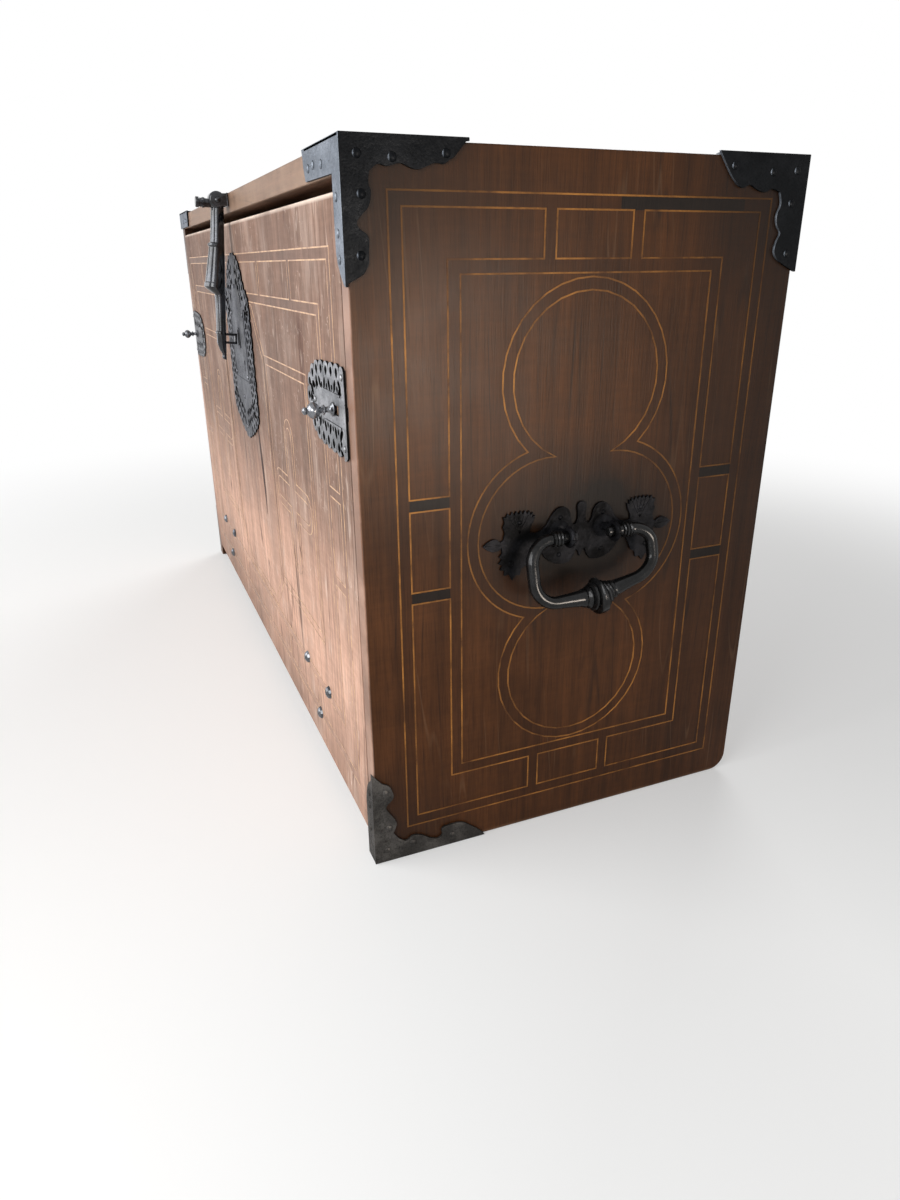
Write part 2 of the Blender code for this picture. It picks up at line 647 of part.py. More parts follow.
def build_lock(front_pivot):
    shield = slab(lock_outline(), "Y", PLATE_FACE_Y, PLATE_BACK_Y)
    plate = make("lock_plate", shield, BRIGHT_IRON, front_pivot)
    mouth_x = STAPLE_W / 2 + 3 * SLIDE_CLEAR
    mouth_z = LOCK_BOLT_H / 2 + SLIDE_CLEAR + STAPLE_BAR + STAPLE_CLEAR
    low = (-mouth_x, PLATE_FACE_Y - FIT, STAPLE_Z - mouth_z)
    cut(plate, block(low, (mouth_x, FACE_Y, STAPLE_Z + mouth_z)))
    key_z = STAPLE_Z - KEYHOLE_DROP
    key = (LOCK_CASE_W / 4, FACE_Y, key_z)
    cut(plate, rod(KEYHOLE_R, key, "Y", -FIT * 2 - PLATE_T, 0.0, SMALL_ROUND))

    half_w, half_h = LOCK_CASE_W / 2, LOCK_CASE_H / 2
    low = (-half_w, FACE_Y + FIT, STAPLE_Z - half_h)
    case = block(low, (half_w, FACE_Y + FIT + LOCK_CASE_D, STAPLE_Z + half_h))
    lock_case = make("lock_case", case, IRON, front_pivot)
    low = (-mouth_x, FACE_Y, STAPLE_Z - mouth_z)
    cut(lock_case, block(low, (mouth_x, STAPLE_DEEP_Y + 2 * SLIDE_CLEAR, STAPLE_Z + mouth_z)))
    rest_x = STAPLE_W / 2 + 4 * SLIDE_CLEAR
    track = LOCK_BOLT_H / 2 + SLIDE_CLEAR / 2
    track_end = rest_x + LOCK_BOLT_L + SLIDE_CLEAR
    low = (rest_x - LOCK_THROW - SLIDE_CLEAR, FACE_Y, STAPLE_Z - track)
    high_y = LOCK_BOLT_Y + LOCK_BOLT_D / 2 + SLIDE_CLEAR / 2
    cut(lock_case, block(low, (track_end, high_y, STAPLE_Z + track)))
    pivot = pivot_at("lock_bolt_slide", (rest_x, LOCK_BOLT_Y, STAPLE_Z))
    ride(pivot, front_pivot)
    low = (rest_x, LOCK_BOLT_Y - LOCK_BOLT_D / 2, STAPLE_Z - LOCK_BOLT_H / 2)
    high = (rest_x + LOCK_BOLT_L, LOCK_BOLT_Y + LOCK_BOLT_D / 2, STAPLE_Z + LOCK_BOLT_H / 2)
    make("lock_bolt", block(low, high), IRON, pivot)


def hasp_sections():
    """The hasp's neck, bell, tongue and point, as (drop from the axis, width, depth)."""
    top = HASP_KNUCKLE_R / 2
    run = HASP_BELL_DROP - HASP_BELL_RIM - top
    grow_w = HASP_BELL_W - HASP_NECK_W
    grow_d = HASP_BELL_D - HASP_NECK_D
    bell = []
    for share, grow in ((0.0, 0.0), (0.3, 0.2), (0.65, 0.6), (1.0, 0.97)):
        bell.append((top + share * run, HASP_NECK_W + grow * grow_w, HASP_NECK_D + grow * grow_d))
    rim = HASP_BELL_DROP + HASP_BELL_RIM
    return bell + [
        (HASP_BELL_DROP, HASP_BELL_W, HASP_BELL_D),
        (HASP_BELL_DROP + HASP_BELL_RIM / 2, HASP_BELL_W * 0.85, HASP_BELL_D * 0.85),
        (rim, HASP_TONGUE_W * 1.1, HASP_TONGUE_D * 1.1),
        (STAPLE_DROP, HASP_TONGUE_W, HASP_TONGUE_D),
        ((STAPLE_DROP + HASP_L) / 2, HASP_TONGUE_W * 0.9, HASP_TONGUE_D * 0.9),
        (HASP_L, HASP_TIP_W, HASP_TIP_W),
    ]


def build_hasp():
    """The hasp is modelled hanging straight down and then swung out a little, as it hangs unlocked."""
    pivot = pivot_at("hasp_hinge", (0.0, HASP_AXIS_Y, HASP_AXIS_Z))
    half = HASP_KNUCKLE_L / 2
    rings = []
    corners = [math.pi / 8 + i * math.pi / 4 for i in range(8)]
    reach = 1 / math.cos(math.pi / 8) / 2
    back = FACE_Y - HASP_BACK_GAP
    for drop, wide, deep in hasp_sections():
        y, z = back - deep / 2, HASP_AXIS_Z - drop
        ring = [(wide * reach * math.cos(a), y + deep * reach * math.sin(a), z) for a in corners]
        rings.append(ring)
    hasp = make("hasp", skin(rings), BRIGHT_IRON, pivot)
    stub_z = HASP_AXIS_Z - HASP_STUB_DROP
    stub_run = (FACE_Y - HASP_STUB_OUT, HASP_AXIS_Y)
    join(hasp, rod(HASP_STUB_R, (0.0, 0.0, stub_z), "Y", *stub_run, SMALL_ROUND))
    axis = (0.0, HASP_AXIS_Y, HASP_AXIS_Z)
    join(hasp, rod(HASP_KNUCKLE_R, axis, "X", -half, half))
    cut(hasp, rod(HASP_PIN_R + TURN_CLEAR, axis, "X", -2 * half, 2 * half))
    outer_h = LOCK_BOLT_H / 2 + SLIDE_CLEAR + STAPLE_BAR
    low = (-STAPLE_W / 2, back - HASP_TONGUE_D / 2, STAPLE_Z - outer_h)
    join(hasp, block(low, (STAPLE_W / 2, STAPLE_DEEP_Y, STAPLE_Z + outer_h)))
    eye_h = LOCK_BOLT_H / 2 + SLIDE_CLEAR
    low = (-STAPLE_W, LOCK_BOLT_Y - LOCK_BOLT_D / 2 - SLIDE_CLEAR, STAPLE_Z - eye_h)
    cut(hasp, block(low, (STAPLE_W, STAPLE_DEEP_Y - STAPLE_BAR, STAPLE_Z + eye_h)))
    pivot.rotation_euler = (-HASP_LIFT, 0.0, 0.0)

    lug_in = half + HASP_LUG_GAP
    lug_out = lug_in + HASP_LUG_T
    back_y = FACE_Y - FIT
    eye_low = HASP_AXIS_Z - HASP_EYE_PLATE_H / 2
    eye_high = HASP_AXIS_Z + HASP_EYE_PLATE_H / 2
    plate = block((-lug_out, back_y - HASP_EYE_PLATE_T, eye_low), (lug_out, back_y, eye_high))
    eye = make("hasp_eye", plate, BRIGHT_IRON)
    for near, far in ((-lug_out, -lug_in), (lug_in, lug_out)):
        low = (near, HASP_AXIS_Y, HASP_AXIS_Z - HASP_LUG_R)
        join(eye, block(low, (far, back_y - HASP_EYE_PLATE_T / 2, HASP_AXIS_Z + HASP_LUG_R)))
        join(eye, rod(HASP_LUG_R, axis, "X", near, far))
    join(eye, rod(HASP_PIN_R, axis, "X", -lug_out + FIT, lug_out - FIT))


def backplate_outline():
    """The handle's backplate: round lobes at the middle and spiky leaves at both ends."""
    low, high = BACKPLATE_LOW_Z, BACKPLATE_HIGH_Z
    mid = (low + high) / 2
    tall = (high - low) / 2
    wide = BACKPLATE_HALF_W
    lobe = tall * 0.62
    half = [(0.0, mid - tall * 0.55), (wide * 0.30, mid - tall * 0.80), (wide * 0.52, mid - tall * 0.35)]
    half += [(wide * 0.70, mid - tall), (wide * 0.78, mid - tall * 0.25), (wide, mid - tall * 0.10)]
    half += [(wide * 0.80, mid + tall * 0.18), (wide * 0.74, mid + tall * 0.82)]
    half += [(wide * 0.56, mid + tall * 0.30)]
    half += arc((wide * 0.26, mid + tall * 0.35), lobe, 0.1, math.pi * 0.8, 6)
    half += [(0.0, mid + tall * 0.75)]
    return half + [(-u, v) for u, v in reversed(half[1:-1])]


def bail_path():
    """The bail's centre line as (along Y, drop) with its radius, from one arm's end to the other.

    Long use has bent the rear half upwards.
    """
    bend = HANDLE_BEND_R
    side = HANDLE_HALF_W
    collar_in = HANDLE_COLLAR_Y - HANDLE_COLLAR_L / 2
    collar_out = HANDLE_COLLAR_Y + HANDLE_COLLAR_L / 2
    bar = HANDLE_BAR_R
    knop = HANDLE_KNOP_L / 2
    half = [(HANDLE_ARM_END, 0.0, bar), (collar_in, 0.0, bar), (collar_in + FIT, 0.0, HANDLE_COLLAR_R)]
    half += [(HANDLE_COLLAR_Y, 0.0, bar * 1.05), (collar_out - FIT, 0.0, HANDLE_COLLAR_R)]
    half += [(collar_out, 0.0, bar)]
    loop = HANDLE_LOOP_R
    half += [(u, v, loop) for u, v in arc((side - bend, bend), bend, -math.pi / 2, 0.0, 5)]
    low = HANDLE_DROP - bend
    half += [(u, v, loop) for u, v in arc((side - bend, low), bend, 0.0, math.pi / 2, 5)]
    swell = HANDLE_SWELL_R
    half += [(knop, HANDLE_DROP, swell), (knop - FIT, HANDLE_DROP, swell * 1.15)]
    half += [(knop * 0.7, HANDLE_DROP, swell), (knop * 0.45, HANDLE_DROP, HANDLE_KNOP_R * 0.9)]
    half += [(0.0, HANDLE_DROP, HANDLE_KNOP_R)]
    rear = [(u, v * (1.0 - HANDLE_REAR_RISE * u / side), r) for u, v, r in half]
    return rear + [(-u, v, r) for u, v, r in reversed(half[:-1])]


def build_handle(label, sign):
    axis_x = sign * (WIDTH / 2 + HANDLE_AXIS_OUT)
    face_x = WIDTH / 2 + FIT
    depths = sorted((sign * face_x, sign * (face_x + BACKPLATE_T)))
    plate = make(f"handle_plate_{label}", slab(backplate_outline(), "X", *depths), IRON)
    pivot = pivot_at(f"bail_{label}_hinge", (axis_x, 0.0, HANDLE_AXIS_Z))
    for end, y in (("front", -EYE_Y), ("back", EYE_Y)):
        center = (axis_x, y, HANDLE_AXIS_Z)
        shank_end = sign * (WIDTH / 2 - EYE_SHANK_DEPTH)
        ends = sorted((shank_end, axis_x - sign * EYE_R * 0.8))
        hole = rod(EYE_SHANK_R + FIT, (0.0, y, HANDLE_AXIS_Z), "X", *sorted((0.0, axis_x)), SMALL_ROUND)
        cut(plate, hole)
        eye = make(f"handle_eye_{label}_{end}", rod(EYE_R, center, "Y", -EYE_T / 2, EYE_T / 2), IRON)
        join(eye, rod(EYE_SHANK_R, (0.0, y, HANDLE_AXIS_Z), "X", *ends, SMALL_ROUND))
        cut(eye, rod(HANDLE_BAR_R + TURN_CLEAR, center, "Y", -EYE_T, EYE_T))
    out = (sign * math.sin(HANDLE_TILT), 0.0, -math.cos(HANDLE_TILT))
    across = (sign * math.cos(HANDLE_TILT), 0.0, math.sin(HANDLE_TILT))
    path = bail_path()
    points = [(axis_x + d * out[0], y, HANDLE_AXIS_Z + d * out[2]) for y, d, _ in path]
    normals = []
    for i, (y, d, _) in enumerate(path):
        before, after = path[max(i - 1, 0)], path[min(i + 1, len(path) - 1)]
        run, fall = after[0] - before[0], after[1] - before[1]
        size = math.hypot(run, fall)
        side = (-fall / size, run / size)
        normals.append(((side[1] * out[0], side[0], side[1] * out[2]), across))
    bail = swept(points, normals, [radius for _, _, radius in path])
    make(f"bail_{label}", bail, IRON, pivot, smooth=True)


def main():
    clear_scene()
    build_sides()
    build_boards()
    build_nest()
    build_drawers()
    build_irons()
    front_pivot = pivot_at("fall_front_hinge", (0.0, HINGE_Y, HINGE_Z))
    build_front(front_pivot)
    build_hinges(front_pivot)
    build_bolts(front_pivot)
    build_lock(front_pivot)
    build_hasp()
    build_handle("right", 1)
    build_handle("left", -1)


main()
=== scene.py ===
"""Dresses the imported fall-front cabinet: inlaid walnut boards, forged irons, lock, hasp, bolts and handles.

Metres, +Z up. The front faces -Y and the origin is at the centre of the underside.
"""

import json
import math

import bmesh
import bpy
from mathutils import Matrix, Vector


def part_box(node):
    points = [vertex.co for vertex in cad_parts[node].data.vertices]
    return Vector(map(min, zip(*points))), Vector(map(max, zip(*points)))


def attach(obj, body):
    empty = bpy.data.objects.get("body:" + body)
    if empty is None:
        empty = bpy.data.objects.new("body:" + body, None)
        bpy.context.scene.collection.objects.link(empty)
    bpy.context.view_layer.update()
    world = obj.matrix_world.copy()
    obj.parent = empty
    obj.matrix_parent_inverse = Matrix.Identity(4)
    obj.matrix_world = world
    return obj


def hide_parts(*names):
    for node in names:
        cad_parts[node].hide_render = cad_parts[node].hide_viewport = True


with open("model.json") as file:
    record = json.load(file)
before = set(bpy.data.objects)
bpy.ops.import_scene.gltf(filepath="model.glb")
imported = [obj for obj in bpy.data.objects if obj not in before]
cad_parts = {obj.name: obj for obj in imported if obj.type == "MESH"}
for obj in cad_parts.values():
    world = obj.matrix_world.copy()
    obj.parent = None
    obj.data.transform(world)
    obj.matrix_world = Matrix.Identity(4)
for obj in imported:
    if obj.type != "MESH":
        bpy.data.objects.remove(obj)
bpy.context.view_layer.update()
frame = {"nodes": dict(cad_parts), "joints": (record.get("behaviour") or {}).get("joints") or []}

bl_info = {
    "name": "Fall-front cabinet",
    "version": (1, 0, 0),
    "blender": (4, 5, 0),
    "location": "3D View > Sidebar > Cabinet",
    "description": "Dresses a fall-front cabinet with inlaid walnut, forged irons and a stage",
    "category": "Object",
}

CASE_LOW, CASE_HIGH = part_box("side_right")
HALF_WIDTH = CASE_HIGH[0]
INNER_X = CASE_LOW[0]
FACE_Y = CASE_LOW[1]
BACK_Y = CASE_HIGH[1]
TOP_Z = CASE_HIGH[2]
MIDDLE_Z = TOP_Z / 2
FRONT_LOW, FRONT_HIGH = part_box("front_board")
TOP_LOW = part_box("top_board")[0]
BACK_LOW, BACK_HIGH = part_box("back_board")
LOCK_LOW, LOCK_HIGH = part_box("lock_plate")
BOLT_LOW, BOLT_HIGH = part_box("bolt_plate_right")
JOINTS = {joint["name"]: joint for joint in frame["joints"]}
HASP_AXIS = Vector(JOINTS["hasp_hinge"]["pos_m"])
# The hasp hangs swung out from its home in the lock by as much as its joint lets it go back.
HASP_LIFT = math.radians(-JOINTS["hasp_hinge"]["range_deg"][0])
HANDLE_AXIS = Vector(JOINTS["bail_right_hinge"]["pos_m"])
SIDES = (("right", 1), ("left", -1))
# The lobed edge of the lock and bolt plates: from lobe to lobe, and how far each one stands out.
LOBE_PITCH = 0.0158
LOBE_DEPTH = 0.0046
# From a bolt plate's outer edge to the stem of its knob.
STEM_INSET = 0.034
# The lock's mouth takes the hasp's staple, so both are at one height.
MOUTH_Z = (LOCK_LOW[2] + LOCK_HIGH[2]) / 2 + 0.0135
# How far use has bent up the rear of a bail, as a share of its drop.
REAR_RISE = 0.27
# From a handle's middle to each of its eyes.
EYE_Y = 0.0226
# Air between a board and the iron on it, and how deep a nail head sits in its plate.
SEAT_GAP = 0.0003
NAIL_SINK = 0.0002
# The nail heads of the lock and bolt plates: radius and height.
PLATE_NAIL = (0.0028, 0.0016)
# Points closer than this are one point.
MERGE = 1e-6
# A board's edge that turns by more than this, in radians, is rounded by wear.
SHARP_TURN = 0.6
MM = 0.001
TO_FRONT = (0.0, -1.0, 0.0)
DRAWERS = sorted(name for name in frame["nodes"] if name.startswith("drawer_") and "pull" not in name)

# The camera, solved from the corners of the case and of the inlay.
CAMERA_PLACE = (1.0925, -0.3739, 0.5180)
CAMERA_RIGHT = (0.38612, 0.92241, -0.00842)
CAMERA_UP = (-0.34573, 0.15317, 0.92575)
CAMERA_FORWARD = (-0.85521, 0.35454, -0.37804)
CAMERA_LENS = 24.692
CAMERA_SENSOR = 36.0

# The forged edges of the corner irons in millimetres, as (distance from the corner, width of the leg).
TOP_FRONT_ALONG = (
    (21, 23), (27, 18.6), (34, 19.8), (43, 17.6), (50, 20), (56, 21.2), (62, 19.4), (69, 16.8),
    (76, 17.2), (80, 14.6), (84, 12.2), (94.7, 0.6))
TOP_FRONT_DOWN = (
    (23, 21), (30, 20), (36, 21.6), (44.7, 19.6), (50, 14.5), (54.7, 10.8), (59, 12.5), (62, 17.2),
    (66, 19), (74, 18.4), (81, 18.2), (86, 15.5), (89, 12.6), (94.7, 1.3))
TOP_BACK_ALONG = (
    (28, 29), (36, 26.6), (44, 29.2), (52, 27.5), (60, 24), (68, 26.5), (76, 21.6), (84, 13), (93, 1))
TOP_BACK_DOWN = (
    (29, 28), (38, 25.6), (46, 28.6), (54, 27), (60, 22.6), (67, 25.5), (75, 26.5), (82, 20), (90, 3))
FOOT_ALONG = (
    (24, 22), (31, 17.4), (37.6, 21), (46, 19.2), (54, 13.7), (62, 10.3), (67, 12.8), (67, 20),
    (76, 22), (88, 21), (97, 14.7), (105, 8), (111, 1.5))
FOOT_UP = (
    (24, 22.5), (30, 19), (34, 20.5), (41, 22), (50, 17.4), (57.7, 12.8), (62, 13.7), (67, 19),
    (72.4, 20), (81.6, 16.5), (86, 10), (92, 5), (98, 0.6))
# Half of the handle's backplate in millimetres, out from its middle and up from the handle's axis.
BACKPLATE = (
    (0, 24.8), (2.6, 24.2), (4.6, 21.6), (4.9, 18.4), (3.9, 14.6), (4.1, 9), (5.8, 5.2), (8.3, 4.6),
    (10.2, 8), (11.7, 15.6), (14, 19.5), (17.5, 21.6), (21.5, 21.9), (25, 20.6), (28.5, 17.6), (31, 14),
    (34.5, 7.5), (39, 3.0), (45, 1.4), (51, 2.6), (50.5, 7), (47.8, 12), (46.2, 17.8), (49.2, 16.4),
    (48.4, 20.8), (50.6, 18.4), (52, 22.4), (54, 19.4), (56, 23), (58, 19.8), (60, 23.2), (62, 20),
    (64.2, 23.2), (66, 20), (68.4, 22.9), (70, 19.6), (72.6, 22.2), (74, 18.8), (76.8, 19.2),
    (75.4, 14), (77.2, 10), (75, 5), (76.4, -1.5), (79, -2.6), (82, 0), (86, 0.9), (91, -1.2),
    (95.5, -4.6), (91, -8.5), (86, -10.6), (81, -10.2), (77.6, -8), (77.2, -13), (80.2, -16),
    (77.4, -18.6), (80.6, -22), (76.8, -24), (79, -28), (74.6, -28.8), (75, -33.6), (70.4, -33),
    (67, -39), (63.6, -34.4), (59.6, -35), (58.5, -29.4), (54, -27), (51, -20), (47, -14), (43, -13.5),
    (39, -17), (35.5, -22.5), (30, -27), (24, -29.8), (17, -30.6), (11, -29.6), (7, -25), (4.6, -19),
    (2.4, -20.4), (0, -26))
# Turned work in millimetres, as (distance along the axis, radius): the bolt's knob, a drawer's pull,
# the hasp's knuckle, stub and lug, and the boss under a handle's eye.
KNOB = (
    (-3, 3.4), (0.4, 3.4), (0.5, 5.6), (1.2, 5.9), (1.9, 5.3), (2.5, 3.7), (3.6, 2.6), (5.8, 2.2),
    (6.9, 2.3), (7.4, 3.4), (8.1, 4.1), (9.0, 4.0), (9.5, 3.1), (10.1, 2.5), (11.1, 2.7), (12.3, 4.0),
    (14.0, 5.7), (16.0, 6.6), (18.1, 6.5), (19.8, 5.4), (20.9, 4.0), (21.5, 2.9), (22.1, 2.4),
    (22.7, 2.9), (23.5, 3.2), (24.6, 2.9), (25.4, 1.9), (25.9, 0.7), (26.0, 0.0))
PULL = (
    (-8, 3.0), (0.3, 3.0), (0.4, 6.4), (1.4, 6.6), (2.2, 5.2), (3.4, 3.6), (5.4, 3.2), (6.6, 4.2),
    (8.4, 6.8), (10.4, 8.0), (12.4, 7.6), (14.2, 5.6), (15.4, 2.8), (16.0, 0.0))
HASP_KNUCKLE = (
    (-8, 2.6), (-8, 8.2), (-7.2, 9.3), (-5.4, 9.5), (-4.8, 8.9), (-4.0, 9.5), (4.0, 9.5), (4.8, 8.9),
    (5.4, 9.5), (7.2, 9.3), (8, 8.2), (8, 2.6))
HASP_STUB = (
    (0, 0), (0, 4.8), (13.0, 4.8), (13.8, 5.7), (16.2, 5.7), (16.9, 4.9), (19.4, 4.9), (20.2, 5.8),
    (23.0, 5.8), (23.8, 5.2), (23.8, 0))
HASP_LUG = (
    (0, 0), (0, 8.0), (0.5, 8.5), (3.4, 8.5), (4.0, 7.8), (4.1, 3.4), (4.9, 3.0), (5.4, 1.6), (5.5, 0))
BOSS = (
    (0, 0), (0, 10.4), (0.6, 10.4), (1.2, 9.0), (2.4, 6.4), (3.0, 5.0), (3.0, 0))
# The hasp's shaft in millimetres, as (drop below its axis, width, depth).
HASP_SECTIONS = (
    (4.5, 14.8, 14.4), (14, 15.0, 14.8), (30, 15.4, 15.4), (46, 16.2, 16.4), (47, 18.2, 18.6),
    (49.5, 18.6, 19.2), (51, 17.4, 17.8), (66, 19.0, 19.8), (82, 20.6, 22.0), (90, 21.4, 23.0),
    (91, 22.4, 24.0), (95.5, 22.8, 24.4), (97.2, 21.4, 22.8), (100.5, 17.0, 18.0), (103.4, 13.4, 13.2),
    (104.4, 12.8, 12.6), (120, 12.4, 11.9), (146, 12.0, 11.5), (147, 13.2, 12.6), (149, 13.2, 12.6),
    (150, 12.0, 11.4), (160, 11.4, 11.0), (168, 8.0, 8.2), (173, 4.6, 5.0), (175, 4.4, 4.8),
    (177, 5.2, 5.4), (179.4, 3.6, 3.8), (180, 1.8, 2.0))
# The bail in millimetres: (distance from its middle, radius) along the knop and along an arm's collars.
BAIL_KNOP = (
    (0, 16.4), (1.6, 16.3), (2.6, 15.2), (3.3, 13.0), (3.8, 11.4), (4.5, 11.9), (5.6, 12.7),
    (6.9, 12.0), (7.5, 10.2), (8.0, 9.2), (8.9, 9.4), (10.0, 10.2), (11.1, 9.7), (11.9, 8.4),
    (12.8, 7.8), (13.8, 8.3), (14.8, 8.5), (15.8, 7.9), (16.8, 7.4), (20, 7.1), (26, 6.5), (33, 5.9))
BAIL_COLLARS = (
    (39.5, 5.0), (38.8, 6.6), (37.6, 7.2), (36.6, 6.4), (36.2, 5.6), (35.6, 6.6), (34.4, 7.2),
    (33.2, 6.6), (32.8, 5.6), (32.2, 6.4), (31.2, 7.0), (30.2, 6.2), (29.6, 4.9), (28.6, 4.45),
    (24, 4.4), (17.4, 4.4), (16.0, 4.0), (15.2, 2.8))


class CabinetSizes(bpy.types.PropertyGroup):
    """Sizes of the inlay, the edges and the forged work."""

    line_width: bpy.props.FloatProperty(
        name="Line width", description="Width of the inlaid lines", default=0.0013, unit="LENGTH")
    line_thick: bpy.props.FloatProperty(
        name="Line thickness", description="Thickness of a line, half of it proud",
        default=0.0004, unit="LENGTH")
    street: bpy.props.FloatProperty(
        name="Street", description="Width of the dark bands between lines", default=0.0103, unit="LENGTH")
    border: bpy.props.FloatProperty(
        name="Border", description="Width of the border compartments", default=0.0346, unit="LENGTH")
    side_margin: bpy.props.FloatProperty(
        name="Side margin", description="Plain wood outside the side's inlay", default=0.0310, unit="LENGTH")
    lobe: bpy.props.FloatProperty(
        name="Lobe", description="Outer radius of the quatrefoil's lobes", default=0.0782, unit="LENGTH")
    lobe_rise: bpy.props.FloatProperty(
        name="Lobe rise", description="From the middle to the upper lobe's centre",
        default=0.1312, unit="LENGTH")
    lobe_reach: bpy.props.FloatProperty(
        name="Lobe reach", description="From the middle to a side lobe's centre",
        default=0.0303, unit="LENGTH")
    edge: bpy.props.FloatProperty(
        name="Edge", description="Rounding of the boards' worn edges", default=0.0013, unit="LENGTH")
    iron: bpy.props.FloatProperty(
        name="Iron", description="Thickness of the corner irons", default=0.0025, unit="LENGTH")
    plate: bpy.props.FloatProperty(
        name="Plate", description="Thickness of the lock and bolt plates", default=0.0017, unit="LENGTH")
    nail: bpy.props.FloatProperty(
        name="Nail", description="Radius of the irons' nail heads", default=0.0033, unit="LENGTH")


class CabinetColours(bpy.types.PropertyGroup):
    """Colours as sRGB hex values."""

    side: bpy.props.StringProperty(name="Side", description="Walnut of the ends", default="#522f15")
    front: bpy.props.StringProperty(name="Front", description="Faded walnut of the front", default="#917465")
    inside: bpy.props.StringProperty(name="Inside", description="Walnut of the drawers", default="#7a563c")
    line: bpy.props.StringProperty(name="Line", description="Inlaid lines", default="#c88640")
    black: bpy.props.StringProperty(
        name="Black iron", description="Handle plates, eyes, pulls and hinges", default="#0a0a0b")
    grey: bpy.props.StringProperty(name="Worn iron", description="Lock plate", default="#66676b")
    floor: bpy.props.StringProperty(name="Floor", description="Floor and backdrop", default="#f4f4f3")


def linear(code, gain=1.0):
    """An sRGB hex value as a linear colour."""
    parts = [int(code[i:i + 2], 16) / 255 for i in (1, 3, 5)]
    values = [p / 12.92 if p <= 0.04045 else ((p + 0.055) / 1.055) ** 2.4 for p in parts]
    return (*[min(v * gain, 1.0) for v in values], 1.0)


def feed(tree, node, sockets):
    """Gives each named socket of a node a value or a link."""
    for socket, value in sockets.items():
        if isinstance(value, bpy.types.NodeSocket):
            tree.links.new(value, node.inputs[socket])
        else:
            node.inputs[socket].default_value = value


def add(tree, kind, sockets=None, **settings):
    """Adds a node, sets it and feeds its sockets."""
    made = tree.nodes.new(kind)
    for key, value in settings.items():
        setattr(made, key, value)
    feed(tree, made, sockets or {})
    return made


def calc(tree, operation, *values):
    """One step of arithmetic on sockets and numbers."""
    return add(tree, "ShaderNodeMath", dict(enumerate(values)), operation=operation).outputs[0]


def ramp(tree, value, low, high, least, most, **settings):
    """Takes a value from one range to another, held at both ends."""
    sockets = {0: value, 1: low, 2: high, 3: least, 4: most}
    return add(tree, "ShaderNodeMapRange", sockets, **settings).outputs[0]


def blend(tree, amount, first, second):
    """Mixes two colours."""
    return add(tree, "ShaderNodeMix", {0: amount, 6: first, 7: second}, data_type="RGBA").outputs[2]


def dimmed(tree, colour, level):
    """A colour times a level."""
    return add(tree, "ShaderNodeVectorMath", {0: colour, "Scale": level}, operation="SCALE").outputs[0]


def noise(tree, place, scale, detail, **more):
    """A cloudy noise, with any more of its sockets by name."""
    sockets = {"Vector": place, "Scale": scale, "Detail": detail, **more}
    return add(tree, "ShaderNodeTexNoise", sockets).outputs["Fac"]


def stretched(tree, place, **sockets):
    """A place to draw a texture at, moved, turned or drawn out."""
    return add(tree, "ShaderNodeMapping", {"Vector": place, **sockets}, vector_type="TEXTURE").outputs[0]


def on_show(tree):
    """1 where a ray comes from the camera, a mirror or glass, which all see the backdrop white."""
    path = add(tree, "ShaderNodeLightPath")
    shown = path.outputs["Is Camera Ray"]
    for ray in ("Is Glossy Ray", "Is Transmission Ray"):
        shown = calc(tree, "MAXIMUM", shown, path.outputs[ray])
    return shown


def blank(name):
    """A new material with only its shader and output."""
    material = bpy.data.materials.new(name)
    material.use_nodes = True
    tree = material.node_tree
    tree.nodes.clear()
    shader = add(tree, "ShaderNodeBsdfPrincipled")
    add(tree, "ShaderNodeOutputMaterial", {"Surface": shader.outputs[0]})
    return material, tree, shader


def place_of(tree):
    """Where a point lies on the piece."""
    return add(tree, "ShaderNodeTexCoord").outputs["Object"]


def darkened_round(tree, place, cloud, colour, soot_and_shade):
    """Darkens a colour round each centre, out to a cloudy edge, for soot and for painted shade."""
    for centre, reach, depth in soot_and_shade:
        spot = stretched(tree, place, Location=centre, Scale=reach)
        ball = add(tree, "ShaderNodeTexGradient", {"Vector": spot}, gradient_type="SPHERICAL")
        edge = calc(tree, "MULTIPLY", ball.outputs["Fac"], cloud)
        amount = ramp(tree, edge, 0.06, 0.34, 0.0, depth)
        colour = blend(tree, amount, colour, linear("#16110e"))
    return colour


def marked(tree, place, along, colour, marks):
    """Draws thin cracks or scratches: narrow ridges of a stretched noise, kept in patches."""
    for long, gap, lean, tint, strength in marks:
        stretch = [gap] * 3
        stretch[along] = long
        drawn_out = stretched(tree, place, Rotation=(lean, lean, 0.0), Scale=stretch)
        off = calc(tree, "SUBTRACT", noise(tree, drawn_out, 1.0, 1.0), 0.5)
        ridge = ramp(tree, calc(tree, "ABSOLUTE", off), 0.003, 0.016, 1.0, 0.0)
        patch = ramp(tree, noise(tree, place, 1 / gap / 4, 3.0), 0.47, 0.6, 0.0, strength)
        colour = blend(tree, calc(tree, "MULTIPLY", ridge, patch), colour, linear(tint))
    return colour


def rubbed(tree, place, cloud, colour, edges):
    """Wears a colour pale near an edge, in patches."""
    parts = add(tree, "ShaderNodeSeparateXYZ", {0: place})
    for letter, at, reach, tint, strength in edges:
        off = calc(tree, "SUBTRACT", parts.outputs[letter], at)
        near = ramp(tree, calc(tree, "ABSOLUTE", off), reach / 3, reach, 1.0, 0.0)
        bare = ramp(tree, cloud, 0.42, 0.6, 0.4 * strength, strength)
        colour = blend(tree, calc(tree, "MULTIPLY", near, bare), colour, linear(tint))
    return colour


